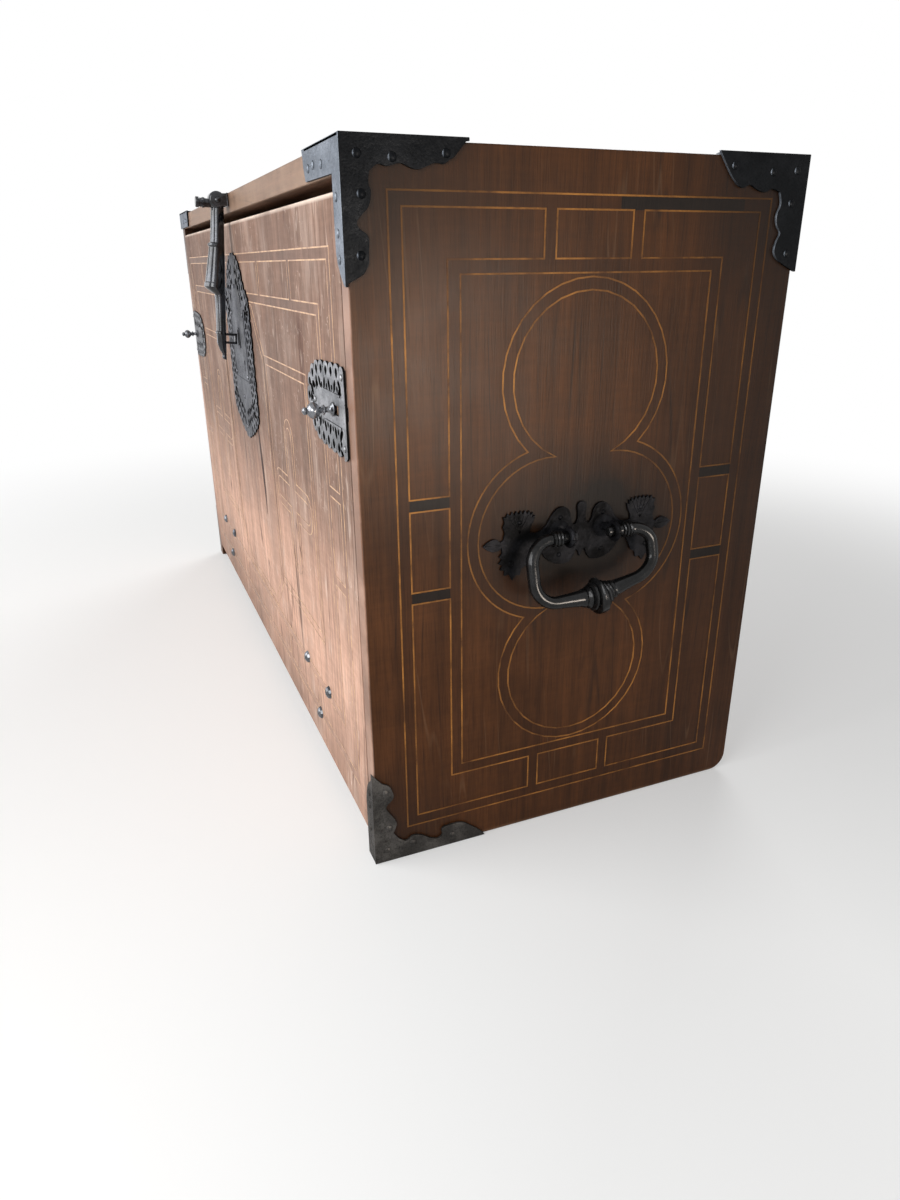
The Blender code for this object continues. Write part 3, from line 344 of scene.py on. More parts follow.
def waxed_wood(name, middle, run, band=0.009, spread=0.3, coat=0.02, rough=(0.31, 0.46), cloudy=(0.7, 1.25),
               soot_and_shade=(), glow=None, scuff=None, marks=(), edges=(), shine=0.11):
    """Sawn walnut, planed and waxed.

    The eye sees long bands of light and dark wood, short dark pores along the grain, a faint ripple
    across it and broad cloudy patches of wax and dirt. Pores are drawn about 1 mm wide, coarser than
    real ones, so that they show.
    """
    material, tree, shader = blank(name)
    place = place_of(tree)
    along = "XYZ".index(run)

    def grain(across, length, detail, distortion=0.0):
        stretch = [across] * 3
        stretch[along] = length
        drawn_out = stretched(tree, place, Scale=stretch)
        return noise(tree, drawn_out, 1.0, detail, Roughness=0.6, Distortion=distortion)
    bands = grain(band, 0.42, 5.0, 0.1)
    pores = grain(0.0011, 0.028, 2.0)
    ripple = grain(0.035, 0.0042, 2.0)
    cloud = noise(tree, place, 9.0, 6.0, Roughness=0.66)
    tone = ramp(tree, bands, 0.32, 0.68, 0.0, 1.0)
    colour = blend(tree, tone, linear(middle, 1.0 - spread), linear(middle, 1.0 + spread))
    level = ramp(tree, cloud, 0.3, 0.7, *cloudy)
    level = calc(tree, "MULTIPLY", level, ramp(tree, pores, 0.3, 0.52, 0.68, 1.0))
    level = calc(tree, "MULTIPLY", level, ramp(tree, ripple, 0.3, 0.7, 0.93, 1.07))
    if glow:
        level = glow(tree, place, level)
    colour = dimmed(tree, colour, level)
    if scuff:
        tint, strength = scuff
        bare = ramp(tree, grain(0.05, 0.16, 8.0), 0.52, 0.68, 0.0, strength)
        colour = blend(tree, bare, colour, linear(tint))
    colour = marked(tree, place, along, colour, marks)
    colour = rubbed(tree, place, cloud, colour, edges)
    colour = darkened_round(tree, place, cloud, colour, soot_and_shade)
    relief = calc(tree, "ADD", pores, bands)
    bump = add(tree, "ShaderNodeBump", {"Strength": 0.45, "Distance": 0.0003, "Height": relief})
    feed(tree, shader, {
        "Base Color": colour, "Roughness": ramp(tree, cloud, 0.3, 0.7, *rough), "Normal": bump.outputs[0],
        "Specular IOR Level": shine, "Coat Weight": coat, "Coat Roughness": 0.24})
    return material


def sun_fade_and_window_light(tree, place, level):
    """Daylight has bleached the front unevenly, and light is painted on it: a painted shade along its foot,
    and palest in its lower half, partly from the bleaching and partly as a painted band of window light; with
    rubbed upright streaks.
    """
    height = add(tree, "ShaderNodeSeparateXYZ", {0: place}).outputs["Z"]
    # Painted shade along the foot of the front.
    foot = ramp(tree, height, 0.03, 0.13, 0.62, 1.0)
    # Brighter low down and dimmer above: sun fading together with a painted band of window light.
    rise = ramp(tree, height, 0.15, 0.36, 1.82, 0.67, interpolation_type="SMOOTHSTEP")
    rub = add(tree, "ShaderNodeMapping", {"Vector": place, "Scale": (160.0, 1.0, 9.0)}).outputs[0]
    streak = ramp(tree, noise(tree, rub, 1.0, 3.0), 0.62, 0.76, 1.0, 1.2)
    for share in (foot, rise, streak):
        level = calc(tree, "MULTIPLY", level, share)
    return level


def line_wood(name, pale, dirty, patch=0.03, soot_and_shade=()):
    """Light fruitwood let in as lines, rubbed bright in places and dulled by old wax in others."""
    material, tree, shader = blank(name)
    place = place_of(tree)
    worn = noise(tree, place, 1 / patch, 6.0, Roughness=0.7)
    colour = blend(tree, ramp(tree, worn, 0.37, 0.68, 0.0, 1.0), linear(dirty), linear(pale))
    colour = darkened_round(tree, place, worn, colour, soot_and_shade)
    feed(tree, shader, {"Base Color": colour, "Roughness": 0.42, "Specular IOR Level": 0.1})
    return material


def forged_iron(name, middle, pale, metallic, rough, grain=0.006, coat=0.0, shade_off_front=False):
    """Hammered iron, blacked or rubbed bright on its high spots, with pits of old rust.

    Where shade_off_front is set, all faces that do not look to the front are darkened nearly to black, as
    painted shade on walls and edges; only the front faces keep the lighter colour.
    """
    material, tree, shader = blank(name)
    place = place_of(tree)
    beat = noise(tree, place, 1 / grain, 4.0, Roughness=0.6)
    pits = noise(tree, place, 1 / 0.0016, 3.0)
    wear = noise(tree, place, 38.0, 5.0, Roughness=0.7)
    colour = blend(tree, ramp(tree, wear, 0.42, 0.7, 0.0, 1.0), linear(middle), linear(pale))
    level = ramp(tree, pits, 0.3, 0.5, 0.55, 1.0)
    # Painted shade: faces that turn away from the front are darkened.
    if shade_off_front:
        normal = add(tree, "ShaderNodeTexCoord").outputs["Normal"]
        facing = add(tree, "ShaderNodeSeparateXYZ", {0: normal}).outputs["Y"]
        level = calc(tree, "MULTIPLY", level, ramp(tree, facing, -0.9, -0.45, 1.0, 0.04))
    height = calc(tree, "MULTIPLY_ADD", pits, 0.35, beat)
    bump = add(tree, "ShaderNodeBump", {"Strength": 0.6, "Distance": 0.0006, "Height": height})
    feed(tree, shader, {
        "Base Color": dimmed(tree, colour, level), "Roughness": ramp(tree, beat, 0.3, 0.7, *rough),
        "Normal": bump.outputs[0], "Metallic": metallic, "Specular IOR Level": 0.2,
        "Specular Tint": linear("#8a8a8c"), "Coat Weight": coat, "Coat Roughness": 0.12})
    return material


FINISHES = {}


def finishes():
    """Every material of the cabinet, made once."""
    if FINISHES:
        return FINISHES
    tint = bpy.context.scene.cabinet_colours
    # Darkened spots, as (centre, reach, depth): soot round the handle, darker wood in three corners, and a
    # painted shade up the rear edge, where less light falls.
    through = 9.0
    soot_and_shade_spots = (
        ((0.0, 0.0, HANDLE_AXIS[2] - 0.004), (through, 0.150, 0.105), 0.95),
        ((0.0, FACE_Y, TOP_Z), (through, 0.15, 0.15), 0.7),
        ((0.0, BACK_Y, TOP_Z), (through, 0.16, 0.16), 0.75),
        ((0.0, FACE_Y, 0.0), (through, 0.12, 0.12), 0.5),
        # Painted shade: the rear of each end is darker, where less light reaches.
        ((0.0, BACK_Y, 0.36), (through, 0.17, 0.36), 0.5))
    # Marks are (length, spacing, lean, colour, strength), and edges (axis, place, reach, colour, strength).
    cracks = (0.5, 0.03, 0.0, "#1d130d", 0.6)
    rub = (0.6, 0.02, 0.05, "#7d5c42", 0.3)
    front_marks = (
        (0.4, 0.034, 0.0, "#4d342a", 0.75), (0.35, 0.012, 0.06, "#e0cfc2", 0.32),
        (0.16, 0.010, -0.5, "#e0cfc2", 0.22))
    FINISHES.update({
        "side": waxed_wood(
            "waxed_walnut", tint.side, "Z", soot_and_shade=soot_and_shade_spots, marks=(cracks, rub),
            edges=(("Y", FACE_Y, 0.0016, "#a98775", 0.95), ("Z", 0.0, 0.004, "#8d6b50", 0.5))),
        "street": waxed_wood("street_walnut", "#4a2a13", "Z", spread=0.22, soot_and_shade=soot_and_shade_spots),
        "dark_street": waxed_wood("dark_street_walnut", "#1e140e", "Z", spread=0.15),
        "long": waxed_wood(
            "waxed_walnut_long", "#6d5040", "X", spread=0.34, marks=(cracks,), shine=0.05,
            edges=(("Y", FACE_Y, 0.005, "#8f7866", 0.75),)),
        "front": waxed_wood(
            "faded_walnut", tint.front, "Z", band=0.0055, spread=0.22, coat=0.0, rough=(0.42, 0.6),
            cloudy=(0.72, 1.22), glow=sun_fade_and_window_light, scuff=("#c9b3a5", 0.3), marks=front_marks,
            edges=(("Z", FRONT_HIGH[2], 0.004, "#d8c6b8", 0.9),), shine=0.03),
        "front_street": waxed_wood(
            "faded_street", "#8a6e60", "Z", spread=0.2, coat=0.0, glow=sun_fade_and_window_light, shine=0.03),
        "split": waxed_wood("split_walnut", "#351c14", "Z", spread=0.3, coat=0.0, shine=0.02),
        "inside": waxed_wood("drawer_walnut", tint.inside, "X", coat=0.05, marks=(cracks,)),
        "nest": waxed_wood("nest_walnut", "#664630", "Y", coat=0.05, marks=(cracks,)),
        "lining": waxed_wood("lining_walnut", "#6d4b34", "X", band=0.014, coat=0.05, marks=(cracks,)),
        "back": waxed_wood("back_walnut", "#6b4e3c", "X", coat=0.0, rough=(0.6, 0.78), marks=(cracks,)),
        "line": line_wood("line_wood", tint.line, "#603c20", 0.045, soot_and_shade_spots),
        "drawer_line": line_wood("drawer_line_wood", "#e0c493", "#b08a58"),
        "front_line": line_wood("front_line_wood", "#d9b48e", "#927464", 0.012),
        # A black sheet of painted shade, with dirt, under the openwork.
        "black_shade_sheet": line_wood("black_shade_sheet", "#1c1714", "#120e0c"),
        "black": forged_iron("blacked_iron", tint.black, "#29292c", 0.5, (0.32, 0.5), 0.007),
        # The top irons' grey-blue front faces are a painted reflection of window light; their other faces are
        # darkened to black iron.
        "corner": forged_iron("corner_iron", "#6a7078", "#8e949d", 0.5, (0.32, 0.5), 0.007, 0.0, True),
        "dull": forged_iron("dull_iron", "#383634", "#5e5b58", 0.5, (0.36, 0.52), 0.007),
        "bail": forged_iron("bail_iron", "#111111", "#29292a", 0.5, (0.2, 0.34), 0.011, 0.35),
        # On the lock and bolt plates, hole walls, edges and nail rims are darkened as painted shade.
        "grey": forged_iron("worn_iron", tint.grey, "#98999d", 0.75, (0.26, 0.46), 0.004, 0.0, True),
        "pale": forged_iron("bright_iron", "#858688", "#bcbcbe", 0.75, (0.26, 0.46), 0.004, 0.0, True),
        "stud": forged_iron("rubbed_iron", "#3e4044", "#8b8d92", 0.8, (0.1, 0.24), 0.005, 0.6),
        "dark": forged_iron("hasp_iron", "#141518", "#3e4148", 0.75, (0.14, 0.3), 0.009, 0.9),
    })
    return FINISHES


def free():
    """Object mode, with nothing selected."""
    if bpy.context.object and bpy.context.object.mode != "OBJECT":
        bpy.ops.object.mode_set(mode="OBJECT")
    bpy.ops.object.select_all(action="DESELECT")


def pick(piece):
    """Selects one piece alone."""
    free()
    piece.select_set(True)
    bpy.context.view_layer.objects.active = piece


def applied(piece, kind, **settings):
    """Adds a modifier and applies it."""
    pick(piece)
    modifier = piece.modifiers.new(kind.title(), kind)
    for key, value in settings.items():
        setattr(modifier, key, value)
    bpy.ops.object.modifier_apply(modifier=modifier.name)


def tidied(piece):
    """Merges doubles and turns the faces outwards."""
    pick(piece)
    bpy.ops.object.mode_set(mode="EDIT")
    bpy.ops.mesh.select_all(action="SELECT")
    bpy.ops.mesh.remove_doubles(threshold=MERGE)
    bpy.ops.mesh.normals_make_consistent(inside=False)
    bpy.ops.object.mode_set(mode="OBJECT")
    return piece


def joined(name, pieces):
    """Joins pieces into the first one."""
    free()
    for piece in pieces:
        piece.select_set(True)
    bpy.context.view_layer.objects.active = pieces[0]
    if len(pieces) > 1:
        bpy.ops.object.join()
    pieces[0].name = name
    pieces[0].data.name = name
    return pieces[0]


def smooth(piece, angle=35.0):
    """Rounds off the shading below an angle, and keeps flat faces flat beside their eased edges."""
    pick(piece)
    bpy.ops.object.shade_smooth_by_angle(angle=math.radians(angle))
    applied(piece, "WEIGHTED_NORMAL", weight=100, keep_sharp=True)
    return piece


def settle(piece, body, slot, finish, *nodes):
    """Gives a finished piece its material, its body and the solids that it stands for."""
    piece.data.materials.clear()
    piece.data.materials.append(finishes()[finish])
    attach(piece, body)
    if nodes:
        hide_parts(*nodes)


def filled(name, points):
    """A filled outline, from a circle whose points go to their places."""
    free()
    bpy.ops.mesh.primitive_circle_add(vertices=len(points), fill_type="NGON")
    piece = bpy.context.object
    piece.name = name
    for vertex, point in zip(piece.data.vertices, points):
        vertex.co = point
    piece.data.update()
    return piece


def softened(piece, width, segments, angle):
    """Eases the edges that turn by more than an angle in degrees."""
    applied(piece, "BEVEL", width=width, segments=segments, limit_method="ANGLE",
            angle_limit=math.radians(angle))


def cut_by(piece, cutter, **settings):
    """Cuts another piece out of this one."""
    applied(piece, "BOOLEAN", object=cutter, operation="DIFFERENCE", solver="EXACT", **settings)
    bpy.data.objects.remove(cutter, do_unlink=True)


def lifted(seat, lift):
    """A seat that lies further out than another one."""
    return lambda u, v, w: seat(u, v, w + lift)


def plate(name, outline, seat, thick, ease=0.0, segments=2):
    """A flat plate: its outline on a seat, drawn out by its thickness, with eased edges."""
    piece = filled(name, [seat(u, v, 0.0) for u, v in outline])
    lift = seat(0.0, 0.0, 1.0) - seat(0.0, 0.0, 0.0)
    side = 1.0 if piece.data.polygons[0].normal.dot(lift) > 0 else -1.0
    applied(piece, "SOLIDIFY", thickness=thick, offset=side)
    tidied(piece)
    if ease:
        softened(piece, ease, segments, 40)
    return piece


def pierced(piece, holes, seat, thick):
    """Cuts outlines right through a plate."""
    below = lifted(seat, -thick)
    cutters = [plate("cutter", hole, below, 3 * thick) for hole in holes]
    cut_by(piece, joined("cutter", cutters), use_self=True)
    return piece


def turned(name, profile, foot, along, steps, unit=MM):
    """A turned piece: a profile of (distance, radius) spun round its axis."""
    free()
    bpy.ops.mesh.primitive_circle_add(vertices=len(profile), fill_type="NOTHING")
    piece = bpy.context.object
    piece.name = name
    for vertex, (distance, radius) in zip(piece.data.vertices, profile):
        vertex.co = (radius * unit, 0.0, distance * unit)
    bpy.ops.object.mode_set(mode="EDIT")
    bpy.ops.mesh.select_mode(type="EDGE")
    bpy.ops.mesh.select_all(action="DESELECT")
    shape = bmesh.from_edit_mesh(piece.data)
    last = len(profile) - 1
    for edge in shape.edges:
        if {vertex.index for vertex in edge.verts} == {0, last}:
            edge.select_set(True)
    bmesh.update_edit_mesh(piece.data)
    bpy.ops.mesh.delete(type="EDGE")
    bpy.ops.object.mode_set(mode="OBJECT")
    applied(piece, "SCREW", angle=2 * math.pi, steps=steps, render_steps=steps, axis="Z",
            use_merge_vertices=True, merge_threshold=MERGE)
    turn = Vector((0.0, 0.0, 1.0)).rotation_difference(Vector(along)).to_matrix().to_4x4()
    piece.data.transform(Matrix.Translation(foot) @ turn)
    tidied(piece)
    return smooth(piece)


def drawn(name, rings):
    """A bar drawn out ring by ring: each ring is extruded from the last one and shaped."""
    piece = filled(name, rings[0])
    pick(piece)
    bpy.ops.object.mode_set(mode="EDIT")
    bpy.ops.mesh.select_mode(type="FACE")
    bpy.ops.mesh.select_all(action="SELECT")
    for before, after in zip(rings, rings[1:]):
        bpy.ops.mesh.extrude_region_move()
        shape = bmesh.from_edit_mesh(piece.data)
        for vertex in [v for v in shape.verts if v.select]:
            nearest = min(range(len(before)), key=lambda i: (vertex.co - Vector(before[i])).length)
            vertex.co = after[nearest]
        bmesh.update_edit_mesh(piece.data)
    bpy.ops.object.mode_set(mode="OBJECT")
    return tidied(piece)


def block(name, low, high, ease, segments=2):
    """A squared bar or board with eased edges."""
    free()
    middle = [(a + b) / 2 for a, b in zip(low, high)]
    bpy.ops.mesh.primitive_cube_add(size=1.0, location=middle, scale=[b - a for a, b in zip(low, high)])
    piece = bpy.context.object
    piece.name = name
    bpy.ops.object.transform_apply(location=True, rotation=True, scale=True)
    applied(piece, "BEVEL", width=ease, segments=segments)
    return piece


def bar(name, points, radii, sides):
    """A round bar along a path, with a radius at each point."""
    free()
    curve = bpy.data.curves.new(name, "CURVE")
    curve.dimensions = "3D"
    spline = curve.splines.new("POLY")
    spline.points.add(len(points) - 1)
    for spot, point, radius in zip(spline.points, points, radii):
        spot.co = (*point, 1.0)
        spot.radius = radius
    curve.bevel_depth = 1.0
    curve.bevel_resolution = sides
    curve.use_fill_caps = True
    piece = bpy.data.objects.new(name, curve)
    bpy.context.scene.collection.objects.link(piece)
    pick(piece)
    bpy.ops.object.convert(target="MESH")
    return smooth(tidied(bpy.context.object))


def eased(node, name, ease, least):
    """A copy of a board's solid whose long edges are rounded by wear."""
    piece = bpy.data.objects.new(name, frame["nodes"][node].data.copy())
    bpy.context.scene.collection.objects.link(piece)
    pick(piece)
    if piece.data.has_custom_normals:
        bpy.ops.mesh.customdata_custom_splitnormals_clear()
    bpy.ops.object.mode_set(mode="EDIT")
    bpy.ops.mesh.select_mode(type="EDGE")
    bpy.ops.mesh.select_all(action="SELECT")
    bpy.ops.mesh.remove_doubles(threshold=MERGE)
    bpy.ops.mesh.dissolve_limited(angle_limit=math.radians(0.5))
    bpy.ops.mesh.select_all(action="DESELECT")
    shape = bmesh.from_edit_mesh(piece.data)
    for edge in shape.edges:
        sharp = len(edge.link_faces) == 2 and edge.calc_face_angle(0.0) > SHARP_TURN
        if sharp and edge.calc_length() > least:
            edge.select_set(True)
    bmesh.update_edit_mesh(piece.data)
    bpy.ops.mesh.bevel(offset=ease, segments=3, affect="EDGES", clamp_overlap=True)
    bpy.ops.object.mode_set(mode="OBJECT")
    return smooth(piece, 30.0)


def curved(points, steps=4):
    """A smooth line through points, as a smith's file would take it."""
    ends = [points[0]] + list(points) + [points[-1]]
    line = []
    for i in range(1, len(ends) - 2):
        a, b, c, d = (Vector(p) for p in ends[i - 1:i + 3])
        for k in range(steps):
            t = k / steps
            line.append(0.5 * (2 * b + (c - a) * t + (2 * a - 5 * b + 4 * c - d) * t * t
                               + (3 * b - a - 3 * c + d) * t ** 3))
    return [(p[0], p[1]) for p in line] + [tuple(points[-1])]


def edges_of(points, closed, half):
    """Both edges of a band of even width along a line."""
    left, right = [], []
    count = len(points)
    for i, point in enumerate(points):
        here = Vector(point)
        before = Vector(points[i - 1]) if closed or i else None
        after = Vector(points[(i + 1) % count]) if closed or i < count - 1 else None
        ends = ((before, here), (here, after))
        runs = [(b - a).normalized() for a, b in ends if a is not None and b is not None]
        sides = [Vector((-r.y, r.x)) for r in runs]
        side = sum(sides, Vector((0.0, 0.0))).normalized()
        reach = half / max(side.dot(sides[0]), 0.35)
        left.append(here + side * reach)
        right.append(here - side * reach)
    if closed:
        left.append(left[0])
        right.append(right[0])
    return left, right


def inlaid(name, bands, seat, thick):
    """Bands let into a board, each from a grid whose points go to the band's two edges."""
    pieces = []
    for left, right in bands:
        free()
        bpy.ops.mesh.primitive_grid_add(x_subdivisions=len(left) - 1, y_subdivisions=1)
        piece = bpy.context.object
        for vertex, (u, v) in zip(piece.data.vertices, list(left) + list(right)):
            vertex.co = seat(u, v, 0.0)
        pieces.append(piece)
    whole = joined(name, pieces)
    tidied(whole)
    applied(whole, "SOLIDIFY", thickness=thick, offset=0.0)
    return tidied(whole)


def rib(name, points, closed, half, seat, thick):
    """A raised rib along a line."""
    return inlaid(name, [edges_of(points, closed, half)], seat, thick)


def box_line(low, high):
    """The four corners of an upright box on a seat."""
    return [(low[0], low[1]), (high[0], low[1]), (high[0], high[1]), (low[0], high[1])]


def arc(centre, radius, start, end, steps):
    """Points along an arc, from one angle to another."""
    angles = [start + (end - start) * i / steps for i in range(steps + 1)]
    return [(centre[0] + radius * math.cos(a), centre[1] + radius * math.sin(a)) for a in angles]


def quatrefoil(radius, rise, reach, steps=26):
    """The outline of four round lobes, as points about its middle."""
    span = math.hypot(rise, reach)
    bulge = math.sqrt(radius ** 2 - span ** 2 / 4)
    meet = Vector((reach / 2, rise / 2)) + Vector((rise, reach)) / span * bulge
    side_turn = math.atan2(meet.y, meet.x - reach)
    top_turn = math.atan2(meet.y - rise, meet.x)
    points = arc((reach, 0.0), radius, -side_turn, side_turn, steps)[:-1]
    points += arc((0.0, rise), radius, top_turn, math.pi - top_turn, steps)[:-1]
    points += arc((-reach, 0.0), radius, math.pi - side_turn, math.pi + side_turn, steps)[:-1]
    points += arc((0.0, -rise), radius, math.pi + top_turn, 2 * math.pi - top_turn, steps)[:-1]
    return points


def framed(half_u, half_v, street, border, cross_u, cross_v):
    """A bordered field about its middle: its lines as closed outlines, its long streets and its short ones.

    The border is cut into compartments by short streets at each distance in cross_u and cross_v.
    """
    out_u, out_v = half_u - street, half_v - street
    in_u, in_v = out_u - border, out_v - border
    field_u, field_v = in_u - street, in_v - street
    lines = [box_line((-u, -v), (u, v)) for u, v in ((half_u, half_v), (field_u, field_v))]
    cuts_u = sorted(s * c for c in cross_u for s in (1, -1))
    cuts_v = sorted(s * c for c in cross_v for s in (1, -1))
    half = street / 2
    streets, level = [], []
    for a, b in (((half_u, half_v), (out_u, out_v)), ((in_u, in_v), (field_u, field_v))):
        ring_a = box_line((-a[0], -a[1]), a)
        ring_b = box_line((-b[0], -b[1]), b)
        streets.append((ring_a + ring_a[:1], ring_b + ring_b[:1]))
    for s in (1, -1):
        near_u, far_u = s * in_u, s * out_u
        near_v, far_v = s * in_v, s * out_v
        low_u, high_u = sorted((near_u, far_u))
        low_v, high_v = sorted((near_v, far_v))
        for c in cuts_u:
            streets.append([[(u, near_v), (u, far_v)] for u in (c - half, c + half)])
        for c in cuts_v:
            level.append([[(near_u, v), (far_u, v)] for v in (c - half, c + half)])
        for a, b in zip(cuts_u, cuts_u[1:]):
            lines.append(box_line((a + half, low_v), (b - half, high_v)))
        for a, b in zip(cuts_v, cuts_v[1:]):
            lines.append(box_line((low_u, a + half), (high_u, b - half)))
        for t in (1, -1):
            u, v = cuts_u[-1] + half, cuts_v[-1] + half
            corner = [(u, in_v), (in_u, in_v), (in_u, v), (out_u, v), (out_u, out_v), (u, out_v)]
            lines.append([(s * a, t * b) for a, b in corner])
    return lines, streets, level


class CABINET_OT_boards(bpy.types.Operator):
    """Makes the case's boards and the fall front with worn edges"""

    bl_idname = "cabinet.boards"
    bl_label = "Boards"

    def execute(self, context):
        sizes = context.scene.cabinet_sizes
        corner = 0.018
        rear = arc((BACK_Y - corner, corner), corner, -math.pi / 2, 0.0, 8)
        outline = [(FACE_Y, 0.0)] + rear + [(BACK_Y, TOP_Z), (FACE_Y, TOP_Z)]
        # The mortise that takes a side bolt, open to the inside and just behind the side's front edge.
        mortise_z = (BOLT_LOW[2] + BOLT_HIGH[2]) / 2
        mouth, deep, half, near, far = 0.001, 0.0122, 0.0058, 0.0002, 0.0072
        for label, sign in SIDES:
            def seat(u, v, w):
                return Vector((sign * (INNER_X + w), u, v))
            side = plate(f"side_board_{label}", outline, seat, HALF_WIDTH - INNER_X, sizes.edge, 3)
            low_x, high_x = sorted((sign * (INNER_X - mouth), sign * (INNER_X + deep)))
            low = (low_x, FACE_Y + near, mortise_z - half)
            high = (high_x, FACE_Y + far, mortise_z + half)
            cut_by(side, block("mortise", low, high, 0.0002))
            settle(smooth(side, 30.0), "case", "walnut", "side", f"side_{label}")
        for node, name, least in (("top_board", "top_slab", 0.02), ("bottom_board", "bottom_slab", 0.25)):
            settle(eased(node, name, sizes.edge, least), "case", "walnut", "long", node)
        made = eased("front_board", "fall_front_board", sizes.edge, 0.4)
        settle(made, "fall_front", "faded_walnut", "front", "front_board")
        planks = []
        rows, gap = 3, 0.0002
        tall = (BACK_HIGH[2] - BACK_LOW[2]) / rows
        for row in range(rows):
            low = (BACK_LOW[0], BACK_LOW[1], BACK_LOW[2] + row * tall + gap)
            high = (BACK_HIGH[0], BACK_HIGH[1], BACK_LOW[2] + (row + 1) * tall - gap)
            planks.append(block("plank", low, high, 0.0016, 3))
        settle(smooth(joined("back_planks", planks), 30.0), "case", "walnut", "back", "back_board")
        return {"FINISHED"}


class CABINET_OT_inlay(bpy.types.Operator):
    """Lays the lines and streets of the ends and of the front"""

    bl_idname = "cabinet.inlay"
    bl_label = "Inlay"

    def side(self, sizes, label, sign):
        """An end: a bordered field with a quatrefoil."""
        def seat(u, v, w):
            return Vector((sign * (HALF_WIDTH + w), u, MIDDLE_Z + v))
        half_u = (BACK_Y - FACE_Y) / 2 - sizes.side_margin
        half_v = MIDDLE_Z - sizes.side_margin
        cross_u, cross_v = (0.0393,), (0.0398,)
        lines, streets, dark = framed(half_u, half_v, sizes.street, sizes.border, cross_u, cross_v)
        # One stretch of the upper street is as dark as the short level streets.
        start, end = 0.022, 0.142
        dark.append([[(start, v), (end, v)] for v in (half_v - sizes.street, half_v)])
        outer = quatrefoil(sizes.lobe, sizes.lobe_rise, sizes.lobe_reach)
        inner = quatrefoil(sizes.lobe - sizes.street * 0.94, sizes.lobe_rise, sizes.lobe_reach)
        streets.append((outer + outer[:1], inner + inner[:1]))
        bands = [edges_of(line, True, sizes.line_width / 2) for line in lines + [outer, inner]]
        for kind, laid, share, finish in (("lines", bands, 1.0, "line"), ("streets", streets, 0.5, "street"),
                                          ("dark_streets", dark, 0.7, "dark_street")):
            made = inlaid(f"side_{kind}_{label}", laid, seat, sizes.line_thick * share)
            settle(made, "case", "walnut", finish)

    def front(self, sizes):
        """The front: a bordered field with an eight-sided middle and a panel with a cross on each side."""
        middle = (FRONT_LOW[2] + FRONT_HIGH[2]) / 2

        def seat(u, v, w):
            return Vector((u, FACE_Y - w, middle + v))

        def lay(name, bands, share, finish):
            made = inlaid(name, bands, seat, sizes.line_thick * share)
            settle(made, "fall_front", "faded_walnut", finish)
        margin_u, margin_v = 0.029, 0.0350
        half_u = FRONT_HIGH[0] - margin_u
        half_v = (FRONT_HIGH[2] - FRONT_LOW[2]) / 2 - margin_v
        street, border = 0.0090, 0.0330
        closed, streets, level = framed(half_u, half_v, street, border, (0.1500, 0.3000), (0.0420,))
        streets += level
        cross = []
        arm, wide = 0.084, 0.0205
        for grow in (0.0, street):
            w, a = wide - grow, arm - grow
            shape = []
            for turn in range(4):
                spin = Matrix.Rotation(turn * math.pi / 2, 2)
                end = arc((a - w, 0.0), w, -math.pi / 2, math.pi / 2, 10) + [(w, w)]
                shape += [tuple(spin @ Vector(point)) for point in end]
            cross.append(shape)
        flat_u, flat_v, far_u, far_v = 0.0925, 0.1355, 0.1435, 0.1840
        corners = [(-flat_u, far_v), (flat_u, far_v), (far_u, flat_v), (far_u, -flat_v),
                   (flat_u, -far_v), (-flat_u, -far_v), (-far_u, -flat_v), (-far_u, flat_v)]
        closed.append(corners)
        closed.append([(u * 0.935, v * 0.95) for u, v in corners])
        panel_in, panel_out, panel_v, cross_drop = 0.1435, 0.3404, 0.1335, 0.0055
        for sign in (1, -1):
            centre = sign * (panel_in + panel_out) / 2
            for grow in (0.0, street):
                low = (centre - (panel_out - panel_in) / 2 + grow, -panel_v + grow)
                closed.append(box_line(low, (2 * centre - low[0], -low[1])))
            for shape in cross:
                closed.append([(centre + u, v - cross_drop) for u, v in shape])
        # The split beside the lock plate, as (across, up, half of its width).
        split = ((0.0610, 0.072, 0.0005), (0.0655, 0.030, 0.0038), (0.0710, -0.004, 0.0062),
                 (0.0745, -0.036, 0.0040), (0.0740, -0.066, 0.0003))
        lay("front_split", [[[(u + s * half, v) for u, v, half in split] for s in (-1, 1)]], 1.0, "split")
        bands = [edges_of(line, True, sizes.line_width * 0.45) for line in closed]
        lay("front_lines", bands, 1.0, "front_line")
        lay("front_streets", streets, 0.5, "front_street")

    def lining(self, sizes):
        """The front's inner face: a veneer with a bordered field and a quatrefoil, as on the drawers."""
        inset, proud = 0.006, 0.0005
        low = (FRONT_LOW[0] + inset, FRONT_HIGH[1] - proud, FRONT_LOW[2] + inset)
        high = (FRONT_HIGH[0] - inset, FRONT_HIGH[1] + proud, FRONT_HIGH[2] - inset)
        settle(block("front_lining", low, high, proud * 0.8), "fall_front", "faded_walnut", "lining")
        half_u, half_v = FRONT_HIGH[0], (FRONT_HIGH[2] - FRONT_LOW[2]) / 2

        def seat(u, v, w):
            return Vector((u, high[1] + w, FRONT_LOW[2] + half_v + v))
        closed = []
        for gap in (0.034, 0.044, 0.072):
            closed.append(box_line((gap - half_u, gap - half_v), (half_u - gap, half_v - gap)))
        for radius in (0.062, 0.053):
            closed.append(quatrefoil(radius, 0.055, 0.055))
        bands = [edges_of(line, True, sizes.line_width / 2) for line in closed]
        made = inlaid("lining_lines", bands, seat, sizes.line_thick)
        settle(made, "fall_front", "faded_walnut", "drawer_line")

    def execute(self, context):
        sizes = context.scene.cabinet_sizes
        for label, sign in SIDES:
            self.side(sizes, label, sign)
        self.front(sizes)
        self.lining(sizes)
        return {"FINISHED"}


